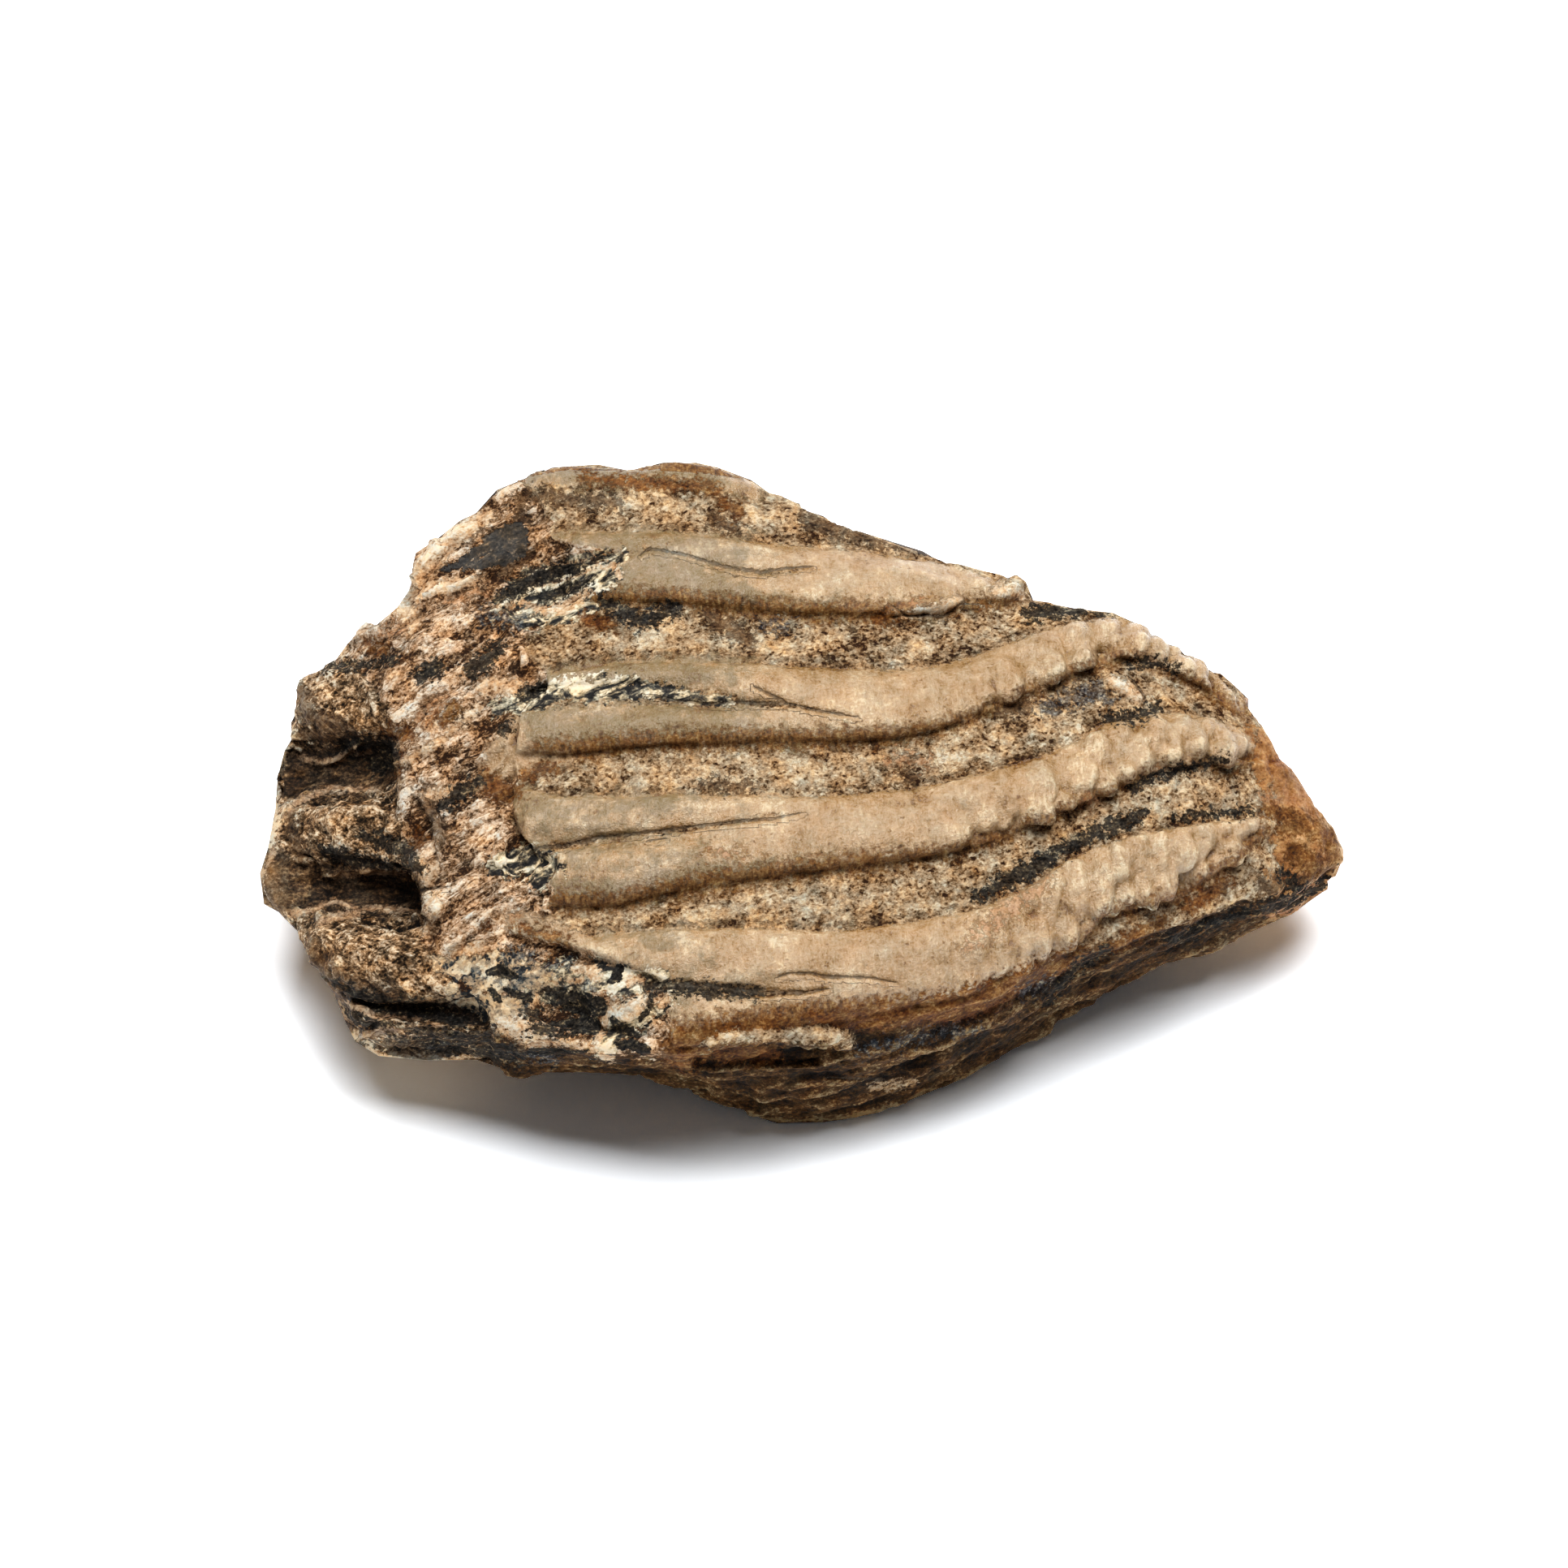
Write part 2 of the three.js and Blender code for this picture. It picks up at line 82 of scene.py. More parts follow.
# The lines along the tooth
# All shapes on the ridged side are drawn in millimetres on a page that is looked down on from in front:
# u runs to the right along the plates and v runs up the page. The plates are sheets of dentine wrapped
# in enamel, and cement fills the furrows between them.
LOOK_DOWN = math.radians(55)
PAGE_Y = 9.35
UP_THE_PAGE = np.array([0, math.sin(LOOK_DOWN), math.cos(LOOK_DOWN)])
OUT_OF_PAGE = np.array([0, -math.cos(LOOK_DOWN), math.sin(LOOK_DOWN)])


def ease(values, low, high):
    """0 below low, 1 above high, and a smooth rise between them."""
    share = np.clip((values - low) / (high - low), 0, 1)
    return share * share * (3 - 2 * share)


def curve_through(points):
    """A smooth curve through (position, value) pairs that never overshoots them."""
    x, y = np.array(points, float).T
    slopes = np.diff(y) / np.diff(x)
    before, after = slopes[:-1], slopes[1:]
    inner = np.where(before * after > 0, 2 * before * after / (before + after + 1e-12), 0)
    tangents = np.concatenate([slopes[:1], inner, slopes[-1:]])

    def curve(at):
        i = np.clip(np.searchsorted(x, at) - 1, 0, len(slopes) - 1)
        span = x[i + 1] - x[i]
        t = np.clip((at - x[i]) / span, 0, 1)
        bend = span * t * (1 - t) * (tangents[i] * (1 - t) - tangents[i + 1] * t)
        return y[i] + (y[i + 1] - y[i]) * t * t * (3 - 2 * t) + bend

    return curve


upper_outline = curve_through([
    (-44.7, -7.2), (-44.4, -5.5), (-43.9, -4.5), (-43.3, -0.5), (-43.1, 2.8), (-42.1, 4.3), (-41.7, 7.0),
    (-40.8, 9.3), (-39.2, 10.8), (-37.3, 11.0), (-37.1, 12.5), (-35.9, 13.7), (-32.7, 15.7),
    (-32.1, 18.1), (-29.9, 20.7), (-25.9, 23.9), (-23.2, 26.1), (-20.3, 26.9), (-15.2, 26.6),
    (-10.9, 27.2), (-6.2, 26.4), (-1.9, 24.7), (1.8, 22.5), (7.5, 20.6), (13.5, 18.5), (17.8, 17.3),
    (18.9, 15.7), (23.5, 15.1), (27.5, 13.9), (30.1, 12.5), (35.5, 8.8), (36.9, 6.9), (38.3, 4.4),
    (40.8, 1.3), (42.5, -1.5), (43.8, -2.8), (44.5, -4.2), (44.7, -5.0),
])
front_edge = curve_through([
    (-44.7, -7.6), (-42.9, -9.6), (-39.2, -15.2), (-36.9, -18.2), (-32.5, -18.6), (-28.5, -19.0),
    (-23.2, -19.9), (-15.2, -21.2), (-10.8, -21.5), (-7.8, -20.9), (-0.3, -19.5), (7.5, -18.2),
    (15.4, -16.5), (22.8, -13.0), (29.5, -11.2), (36.1, -8.9), (40.8, -7.7), (44.7, -5.4),
])
# Each plate: its upper and its lower side, the line where its two enamel walls part towards the root,
# and half the gap between those walls, which closes to the right.
PLATES = [
    {
        "upper": [(-37, 13.2), (-33, 15.2), (-28, 19), (-23, 20.8), (-18.5, 21.5), (-12.5, 21.5),
                  (-2.3, 20.5), (9.1, 19.3), (15.5, 17.6), (18.8, 16.3)],
        "lower": [(-41, 9.6), (-37, 10.4), (-33, 11.2), (-26, 13.4), (-17.2, 15.6), (-12.5, 15.6),
                  (-2.3, 14.6), (5.3, 14.5), (14.5, 15.4), (18.8, 15.7)],
        "split": [(-20, 19.2), (-15, 19.4), (-12.5, 20.0), (-9.3, 19.5), (-6.8, 18.4), (-2.3, 18.0),
                  (0.9, 18.6)],
        "gap": [(-20, 0.5), (-14, 0.25), (-10, 0.12), (0, 0.02), (2, -3)],
        "end": 18.8,
    },
    {
        "upper": [(-42.5, 8), (-38, 9.8), (-33, 9.7), (-27, 9.3), (-21.2, 9.9), (-12.5, 10.9),
                  (-2.3, 10.5), (7.9, 10.1), (14.3, 11.3), (20.6, 13.6), (25.5, 14.5), (29, 13.3),
                  (33.3, 10.4), (36.4, 7.2)],
        "lower": [(-43.2, 3.3), (-38, 3.6), (-33.5, 3.9), (-27, 3.2), (-20.5, 3.1), (-12.3, 3.8),
                  (1.8, 4.1), (7.5, 4.4), (14.1, 6.1), (22, 9.3), (26.3, 11.1), (29, 10.6), (32.2, 8.9),
                  (36.4, 6.2)],
        "split": [(-24, 7.8), (-19, 7.9), (-12.5, 8.1), (-8, 7.8), (-4, 7.3), (0, 7.0), (2.8, 6.7),
                  (4.5, 6.2)],
        "gap": [(-24, 1.1), (-16, 0.95), (-10, 0.8), (-4, 0.45), (1, 0.12), (4, 0.02), (6.5, -3)],
        "end": 36.4,
    },
    {
        "upper": [(-43.5, -0.5), (-38, -0.2), (-33, 0.5), (-27, 0.8), (-22.5, 0.4), (-19.5, -0.3),
                  (-8.9, -0.1), (-0.3, -0.3), (7.5, 0.2), (14.1, 1.5), (22.7, 4.3), (24.7, 5.7),
                  (30.1, 6.6), (35.4, 5.5), (38.4, 2.8)],
        "lower": [(-43.5, -4.8), (-40, -6.2), (-35, -6.4), (-31, -6.6), (-26, -8.2), (-20.6, -9.3),
                  (-16.3, -9.3), (-9.9, -8.1), (-2.5, -6.9), (7.5, -5.7), (14.3, -4.4), (20.5, -2.1),
                  (26.9, 0.8), (32.2, 2.3), (38.4, 2)],
        "split": [(-23, -4.4), (-19.4, -4.3), (-16.8, -3.8), (-12.5, -3.4), (-8.9, -2.9), (-6.1, -2.5),
                  (-1.1, -1.6), (0, -1.7)],
        "gap": [(-23, 0.3), (-16, 0.28), (-10, 0.2), (-3, 0.12), (-0.5, 0.02), (2, -3)],
        "end": 38.4,
    },
    {
        "upper": [(-43, -9.3), (-40, -10), (-35, -9.9), (-31, -9.9), (-26, -10.4), (-23.5, -10.6),
                  (-19.5, -11.6), (-13.1, -11.3), (-4.6, -11), (1.8, -11.3), (7.5, -10.7), (13.3, -9.7),
                  (19, -7.3), (21.6, -5.5), (27.7, -3.4), (32.2, -2.6), (38.4, -1.8)],
        "lower": [(-40, -13.2), (-37.6, -16.2), (-32, -16.7), (-25, -17.6), (-18, -19.6), (-12, -21),
                  (-7.8, -20.6), (-0.3, -19.3), (7.5, -17.8), (15.4, -16.1), (22.8, -12.5), (25, -9.9),
                  (29, -9.2), (32.2, -7.7), (38.4, -3.4)],
        "split": [(-11, -15.7), (-8.3, -15.9), (-5.5, -16.3), (-2.3, -16.4), (0.2, -16.2), (2.1, -15.9)],
        "gap": [(-11, 0.5), (-8, 0.45), (-5, 0.3), (-2, 0.12), (1.5, 0.02), (4, -3)],
        "end": 38.0,
    },
]
for plate in PLATES:
    for line in ("upper", "lower", "split", "gap"):
        plate[line] = curve_through(plate[line])

# Where the sound surface of enamel and cement ends and the broken dentine begins, and the step above
# the root end: the u of each, for a v.
sound_edge = curve_through([
    (-22, -10.6), (-16.2, -10.9), (-15.4, -11.1), (-14.5, -13.2), (-13.3, -16), (-12.4, -19),
    (-11.7, -22.6), (-11, -24.2), (-10.4, -22.5), (-9.8, -20.4), (-9, -20.6), (-5, -20.1), (-4.5, -21.6),
    (-3.5, -22.9), (-1.5, -23.6), (-0.3, -23.5), (1.2, -23.2), (2.9, -23.5), (6.4, -23.3), (7.4, -22.4),
    (8.6, -20.9), (9.6, -20.9), (11, -22.2), (12.5, -22.7), (13.5, -21.4), (14.9, -18.6), (17, -16.8),
    (19, -14.9), (19.8, -14.6), (20.4, -18.4), (21, -20.6), (22, -20.6), (24, -21.5), (25.5, -22.8),
    (28, -23.2),
])
broken_step = curve_through([
    (-19, -25.2), (-17.5, -25.9), (-15.9, -27.9), (-13.5, -29.9), (-11.5, -31.1), (-8.2, -31.2),
    (-6.5, -31.9), (-4.2, -32.7), (0.1, -33.3), (4.1, -33.4), (7.1, -34.2), (12, -38),
])


def page_of(points):
    """u, v and depth towards the eye, in millimetres, of points in the frame."""
    shifted = points - np.array([0, PAGE_Y, 0])
    return np.column_stack([points[:, 0], shifted @ UP_THE_PAGE, shifted @ OUT_OF_PAGE])


def read(mesh):
    """The vertices of a mesh in millimetres, and their normals."""
    places = np.empty(len(mesh.vertices) * 3, np.float32)
    mesh.vertices.foreach_get("co", places)
    normals = np.empty(len(mesh.vertices) * 3, np.float32)
    mesh.vertex_normals.foreach_get("vector", normals)
    return places.reshape(-1, 3) * 1000.0, normals.reshape(-1, 3).astype(float)


def evened(mesh, places, rounds):
    """The vertices' places after each has moved so often halfway to the middle of its neighbours."""
    ends = np.empty(len(mesh.edges) * 2, np.int32)
    mesh.edges.foreach_get("vertices", ends)
    one, other = ends.reshape(-1, 2).T
    neighbours = np.bincount(one, minlength=len(places)) + np.bincount(other, minlength=len(places))
    for _ in range(rounds):
        total = np.zeros_like(places)
        for axis in range(3):
            total[:, axis] = np.bincount(one, places[other, axis], len(places))
            total[:, axis] += np.bincount(other, places[one, axis], len(places))
        places = 0.5 * places + 0.5 * total / neighbours[:, None]
    return places


def zones(page, normals):
    """How far each vertex lies inside each part of the tooth, in millimetres, negative outside it."""
    u, v = page[:, 0], page[:, 1]
    seen = ease(normals @ OUT_OF_PAGE, -0.1, 0.2)
    sound = u - sound_edge(v)
    enamel = np.full(len(u), -5.0)
    plate_depth = np.full(len(u), -5.0)
    above_lower_side = np.zeros(len(u))
    scallops = 0.4 * ease(u, 6, 20) * hills(page, 1.7, 22, stretch=(1, 50, 50))
    for plate in PLATES:
        lower = plate["lower"](u) + scallops
        inside = np.minimum(plate["upper"](u) - v, v - lower)
        walls = np.minimum(inside, np.abs(v - plate["split"](u)) - plate["gap"](u))
        walls = np.minimum(walls, plate["end"] - u)
        above_lower_side = np.where(inside > plate_depth, v - lower, above_lower_side)
        plate_depth = np.maximum(plate_depth, inside)
        enamel = np.maximum(enamel, walls)
    rim = v - upper_outline(u) + 1.5
    enamel = np.maximum(enamel, np.minimum(rim, np.minimum(u + 22.8, -4 - u) + 0.5))
    enamel = np.minimum(enamel, sound)

    # Out of sight the piece is broken through its plates: enamel walls, dentine inside, cement between.
    # The dark skin of the front wall goes round its edge, and the far side has it too.
    wall_band = 0.7 - np.abs(plate_depth - 0.7)
    under_front = ease(-normals[:, 1], 0.0, 0.35)
    skin = np.maximum(ease(normals[:, 1], 0.1, 0.5), under_front)
    fields = {
        "seen": (seen, seen),
        "enamel": (enamel, wall_band - 3 * skin),
        "above_lower_side": (above_lower_side, 0 * u + 2),
        "plate_depth": (plate_depth, plate_depth),
        "sound": (sound, 1.4 - plate_depth + 3 * skin),
        "root": (broken_step(v) - u, -26 - u + 2.5 * hills(page, 5, 27)),
        "front_wall": (front_edge(u) - v, 6 * skin - 3),
    }
    canals = []
    for above, below in ((PLATES[1]["lower"], PLATES[2]["upper"]), (PLATES[2]["lower"], PLATES[3]["upper"]),
                         (PLATES[3]["lower"], front_edge)):
        canals.append(np.minimum(above(u) - v, v - below(u)))
    canal = np.minimum(np.maximum.reduce(canals), broken_step(v) - u + 0.3)
    fields["canal"] = (canal, np.minimum(-26 - u, 6 * under_front - 3))
    return {name: seen * front + (1 - seen) * back for name, (front, back) in fields.items()}


# Relief
# What years in the ground, the break and the tooth's own growth left in its surface. The enamel is
# fluted across its ridges and knobbed near the crown, the cement is granular, the broken dentine is
# splintered, and the root lobes are spongy around smooth canals.
RANDOM_DIRECTIONS = np.random.default_rng(29).normal(size=(4096, 3))
RANDOM_DIRECTIONS /= np.linalg.norm(RANDOM_DIRECTIONS, axis=1)[:, None]
CORNERS = [(i, j, k) for i in (0, 1) for j in (0, 1) for k in (0, 1)]


def hashed(cells):
    """A number from 0 to 4095 for each cell, the same each time."""
    mixed = cells[:, 0] * 73856093 ^ cells[:, 1] * 19349663 ^ cells[:, 2] * 83492791
    return (mixed ^ (mixed >> 13)) & 4095


def laid_out(page, period, stretch, turn, seed):
    """Page places in units of one hill of a pattern that is stretched along a turned direction."""
    angle = math.radians(turn)
    along = page[:, 0] * math.cos(angle) + page[:, 1] * math.sin(angle)
    across = page[:, 1] * math.cos(angle) - page[:, 0] * math.sin(angle)
    return np.column_stack([along, across, page[:, 2]]) / (period * np.array(stretch)) + 31.7 * seed + 500


def hills(page, period, seed, stretch=(1, 1, 1), turn=0, octaves=1):
    """Natural unevenness between about -1 and 1, its hills period millimetres apart."""
    at = laid_out(page, period, stretch, turn, seed)
    total = np.zeros(len(page))
    for octave in range(octaves):
        cells = np.floor(at).astype(np.int64)
        part = at - cells
        fade = part * part * part * (part * (6 * part - 15) + 10)
        for corner in CORNERS:
            direction = RANDOM_DIRECTIONS[hashed(cells + corner)]
            weight = np.prod(np.where(corner, fade, 1 - fade), axis=1)
            total += 1.7 * 0.5 ** octave * weight * np.sum(direction * (part - corner), axis=1)
        at = 2 * at + 7.3
    return total


def cells(page, period, seed, stretch=(1, 1, 1), turn=0):
    """Flat faces, each tilted its own way, and round knobs, one in a cell: two heights, about -1 to 1."""
    at = laid_out(page, period, stretch, turn, seed)
    home = np.floor(at).astype(np.int64)
    nearest = np.full(len(page), 9.0)
    height = np.zeros(len(page))
    for i in (-1, 0, 1):
        for j in (-1, 0, 1):
            for k in (-1, 0, 1):
                cell = home + (i, j, k)
                lean = RANDOM_DIRECTIONS[hashed(cell)]
                gap = at - (cell + 0.5 + 0.45 * RANDOM_DIRECTIONS[hashed(cell + 77)])
                distance = np.sum(gap * gap, axis=1)
                closer = distance < nearest
                nearest = np.where(closer, distance, nearest)
                height = np.where(closer, np.sum(lean * gap, axis=1) + 0.5 * lean[:, 2], height)
    return height, 0.5 - 1.5 * nearest


def beside_strokes(page, strokes):
    """How far inside any of the strokes each place is, in millimetres, and how far it lies to the left or
    right of that stroke's middle, in half widths; a stroke is a line of (u, v, half width)."""
    best = np.full(len(page), -2.0)
    side = np.full(len(page), 6.0)
    for stroke in strokes:
        ends = stroke if len(stroke) > 1 else stroke * 2
        for (u0, v0, w0), (u1, v1, w1) in zip(ends, ends[1:]):
            span = np.array([u1 - u0, v1 - v0])
            along = ((page[:, :2] - (u0, v0)) @ span) / max(span @ span, 1e-9)
            along = np.clip(along, 0, 1)
            off = page[:, :2] - (u0, v0) - along[:, None] * span
            distance = np.hypot(off[:, 0], off[:, 1])
            half_width = w0 + (w1 - w0) * along
            inside = half_width - distance
            left = np.where(span[0] * off[:, 1] - span[1] * off[:, 0] < 0, -1, 1)
            side = np.where(inside > best, left * distance / half_width, side)
            best = np.maximum(best, inside)
    return best, np.clip(side, -6, 6)


# The root's lobes, and the crusts, flakes and canal rims that stand out of the surface, each with its
# height in millimetres and its line of (u, v, half width). The one below zero is a hollow. Then the
# cracks that are open in the surface.
ROLLS = [
    (1.3, [(-41.2, 7.6, 3.4), (-33.9, 8.3, 3.7)]),
    (1.1, [(-41.7, -2.7, 2.3), (-37.2, -2.5, 2.8), (-32.9, -3.9, 2.6)]),
    (0.9, [(-42.6, -7.2, 2.5)]),
    (1.2, [(-39.2, -12.7, 2.8), (-34.5, -13.9, 3.4), (-29.2, -14.2, 3.2)]),
]
RIMS = [
    [(-41.7, 3.5, 0.13), (-40.9, 2.8, 0.17), (-39.5, 2.5, 0.17), (-38.2, 2.8, 0.2), (-37.1, 3.3, 0.2),
     (-36.7, 3.7, 0.13)],
    [(-36.5, 3.1, 0.13), (-35.5, 3.3, 0.13)],
    [(-42.4, -1.8, 0.2), (-41.7, -0.9, 0.27), (-40.4, -0.2, 0.27), (-38.5, 0.3, 0.27),
     (-36.5, 0.3, 0.2), (-34.7, 0.3, 0.2)],
    [(-39.5, -7, 0.13), (-37.2, -6.7, 0.2), (-34.9, -6.5, 0.2), (-32.5, -6.6, 0.13)],
    [(-41.5, -9.8, 0.27), (-40, -9.5, 0.2), (-38.9, -9, 0.2), (-38.3, -8.8, 0.2), (-37.3, -9.2, 0.2),
     (-36.4, -9.6, 0.2), (-34.9, -9.4, 0.2), (-32.9, -9.6, 0.2), (-31.5, -9.7, 0.13)],
    [(-43.3, -4.7, 0.27), (-44.2, -5.9, 0.2), (-44.5, -7.5, 0.2), (-44.4, -8.5, 0.27),
     (-43.9, -9.4, 0.27), (-42.9, -10, 0.27), (-41.9, -10.1, 0.2)],
    [(-39.5, -10.5, 0.33), (-37.9, -10.1, 0.4), (-36.5, -9.9, 0.33)],
    [(-37.1, -17.3, 0.33), (-36.2, -17.6, 0.27), (-35.1, -18.2, 0.17), (-33.9, -18.4, 0.13),
     (-32.2, -18.5, 0.13), (-30.9, -18.8, 0.13), (-29.5, -19, 0.1)],
    [(-36.7, -20.2, 0.27), (-35.5, -19.8, 0.27), (-34.2, -19.5, 0.2), (-32.7, -19.3, 0.13)],
]
LEDGES = [(0.5, rim) for rim in RIMS] + [
    (0.9, [(-31.2, -0.2, 0.3), (-30.2, -1.9, 0.4), (-29.5, -3.9, 0.4), (-29.7, -5.5, 0.2)]),
    (0.6, [(-7.6, -20.3, 0.3), (-5.8, -19.8, 0.4), (-2, -19.8, 0.6), (1.5, -19.8, 0.8), (3.6, -20.1, 0.6)]),
    (-0.7, [(-8.6, -22.0, 0.5), (-6, -21.6, 0.9), (-2.4, -21.6, 1.0), (1.2, -21.5, 0.6)]),
    (0.4, [(7.6, 14.5, 0.7), (10.5, 15.0, 0.8), (13, 15.6, 0.5)]),
    (0.5, [(15.6, 16.4, 0.7), (17.6, 16.9, 0.7)]),
    (0.45, [(25.3, 9.3, 0.5), (26.5, 8.7, 0.6), (27.6, 7.9, 0.6)]),
    (0.5, [(-16.2, -18.6, 0.6), (-14.6, -17.8, 1.0), (-12.8, -16.7, 0.7)]),
    (0.45, [(36.6, -4.8, 0.6), (38, -6, 1.0), (38.8, -7.6, 0.7)]),
]
CRACKS = [
    [(-13.2, 19.6, 0.12), (-12.5, 20.1, 0.14), (-9.3, 19.5, 0.14), (-7.5, 18.9, 0.16),
     (-5.5, 18.4, 0.16), (-3.4, 18.1, 0.18), (-1.5, 18.4, 0.12), (0.9, 18.6, 0.06)],
    [(-12.5, 8.1, 0.1), (-10, 7.5, 0.14), (-7.5, 7.3, 0.16), (-5.5, 7.4, 0.18), (-1.1, 7.3, 0.16),
     (1.5, 6.7, 0.14), (4.5, 6.2, 0.07)],
    [(-3.8, 8.7, 0.1), (-2.7, 8.1, 0.14), (-0.9, 7.3, 0.1)],
    [(-21.8, -4.5, 0.2), (-19.4, -4.3, 0.18), (-16.8, -3.7, 0.2), (-12.5, -3.2, 0.16),
     (-8.7, -2.7, 0.16), (-5.1, -2.3, 0.16), (-2.3, -2.1, 0.14), (0, -1.6, 0.05)],
    [(-12.5, -3.9, 0.08), (-11.1, -3.7, 0.06)],
    [(-12.5, -15.7, 0.4), (-9.3, -15.7, 0.42), (-6.1, -15.9, 0.4), (-3.2, -16.3, 0.34),
     (0.2, -16.3, 0.2), (2.1, -16, 0.08)],
    [(-1.9, -15, 0.06), (-0.9, -14.7, 0.12), (0.7, -14.7, 0.14), (1.9, -15, 0.16), (5.7, -15.1, 0.12),
     (7.7, -15.5, 0.05)],
    [(7.5, 15.3, 0.08), (8.7, 14.5, 0.12), (11.7, 14.5, 0.14), (13, 15.5, 0.1), (14.5, 15.5, 0.08)],
    [(27.0, 9.4, 0.08), (27.5, 8.8, 0.12), (28.1, 7.9, 0.1)], [(-31.0, -7.9, 0.12), (-29.2, -7.7, 0.12)],
    [(2.1, -23.3, 0.1), (6.6, -23.5, 0.14)],
    [(-11.2, -18.6, 0.1), (-12.7, -17, 0.16), (-10.8, -15.8, 0.12)],
]


def relief(page, normals, zone):
    """How far each vertex stands out of the smooth solid, in millimetres."""
    u = page[:, 0]
    seen = zone["seen"]
    enamel = ease(zone["enamel"], -0.05, 0.35)
    broken = ease(-zone["sound"], -0.1, 0.4) * ease(-zone["root"], -0.4, 0.4)
    root = ease(zone["root"], -0.2, 0.5)
    canal = ease(zone["canal"], 0.1, 0.9)
    wall = ease(zone["front_wall"], -0.2, 0.6)
    crown = ease(u, 7, 22)
    low = ease(1.8 - zone["above_lower_side"], -0.6, 0.8)
    cement = (1 - enamel) * (1 - broken) * (1 - root) * (1 - wall)

    total = 0.18 * hills(page, 6, 1, octaves=2)
    total += 0.4 * (broken + root * (1 - broken)) * hills(page, 4.2, 23, stretch=(1.4, 1, 1), turn=10)
    flutes = 0.06 * (0.5 + low) * hills(page, 1.0, 2, stretch=(1, 3, 3), octaves=2)
    dents = 0.16 * hills(page, 3.2, 4, stretch=(1.6, 1, 1)) + 0.05 * hills(page, 0.8, 5, octaves=2)
    knobs = (0.7 + 1.1 * low) * crown * cells(page, 1.8, 6, stretch=(1, 1.8, 1.8))[1]
    knobs += 0.28 * crown * cells(page, 0.8, 24, stretch=(1, 1.6, 1.6))[1]
    total += enamel * seen * (flutes + dents + knobs)

    grains = 0.13 * hills(page, 1.1, 7, octaves=3) - 0.25 * ease(hills(page, 0.9, 8), 0.35, 0.9)
    total += cement * grains

    swirled = page + 1.5 * np.column_stack([hills(page, 8, 25), hills(page, 8, 26), 0 * u])
    torn = 0.7 * cells(swirled, 2.8, 9, stretch=(2.4, 1, 1), turn=32)[0]
    torn += 0.12 * cells(swirled, 1.2, 10, stretch=(2.4, 1, 1), turn=28)[0]
    torn += 0.8 * (0.3 - np.abs(hills(swirled, 2.6, 11, stretch=(3, 1, 1), turn=34, octaves=3)))
    total += broken * torn * (1 - 0.6 * wall) * (1 - 0.75 * ease(-page[:, 1], 12.2, 14.2))

    lobes = np.zeros(len(page))
    for height, roll in ROLLS:
        across = beside_strokes(page, [roll])[1]
        lobes = np.maximum(lobes, height * np.sqrt(np.clip(1 - across ** 2, 0, 1)))
    total += root * seen * (lobes - 0.6)

    sponge = 0.5 * hills(page, 2.2, 12, stretch=(2.2, 1, 1), turn=-38, octaves=4)
    sponge += 0.16 * cells(page, 1.0, 13)[1] - 0.35 * ease(hills(page, 0.9, 14), 0.25, 0.8)
    total += root * (1 - canal) * sponge
    total += root * canal * 0.3 * hills(page, 1.1, 15, stretch=(4, 1, 1), turn=-3, octaves=3)

    streaks = 0.75 * hills(page, 3.0, 16, stretch=(3, 0.8, 0.8), turn=14, octaves=4)
    streaks += 0.12 * hills(page, 0.7, 17, octaves=2)
    total += wall * (1 - root) * streaks

    edge = np.abs(zone["enamel"] + 0.1) / 0.22
    total -= 0.1 * np.exp(-edge ** 2) * seen * (1 - broken) * (1 - root)
    buried_ridge = ease(zone["plate_depth"], 0, 0.6) * ease(u, -24.5, -23.5) * broken * (1 - wall)
    total -= 0.75 * buried_ridge * seen

    for height, line in LEDGES:
        inside = beside_strokes(page, [line])[0] + 0.2 * hills(page, 0.8, 18)
        total += seen * height * ease(inside, -0.1, 0.2)
    cracked = ease(beside_strokes(page, CRACKS)[0] + 0.08 * hills(page, 0.6, 19), -0.2, 0.1)
    total -= 0.25 * cracked * seen
    total += (1 - seen) * (0.3 * cells(page, 3.4, 20)[0] + 0.15 * hills(page, 1.2, 21, octaves=3))
    return total


# The broken end is evened first, so that its splinters start from a smooth slope.
BROKEN_ROUNDS = 70
CLEAR_OF_TABLE = 0.05
places, normals = read(tooth.data)
page = page_of(places)
zone = zones(page, normals)
worn = (ease(-zone["sound"], -1.2, 0.6) * ease(places[:, 2], 0.5, 3.0))[:, None]
places = (1 - worn) * places + worn * evened(tooth.data, places, BROKEN_ROUNDS)
rise = relief(page, normals, zone)
rise *= ease(places[:, 2], 0.0, 1.2) * (1 - 0.75 * ease(-normals[:, 2], 0.3, 0.7))
rise *= 0.1 + 0.9 * ease(places[:, 0], -44.2, -41)
lowest, highest = (np.array(corner) * 1000 for corner in cad_box)
lowest[2] += CLEAR_OF_TABLE
moved = np.clip(places + rise[:, None] * normals, lowest, highest)
tooth.data.vertices.foreach_set("co", (moved / 1000).ravel())
tooth.data.update()


def keep_on_mesh(name, values):
    """Keeps a value for each vertex, for the material to read."""
    attribute = tooth.data.attributes.new(name, "FLOAT", "POINT")
    attribute.data.foreach_set("value", np.asarray(values, np.float32))


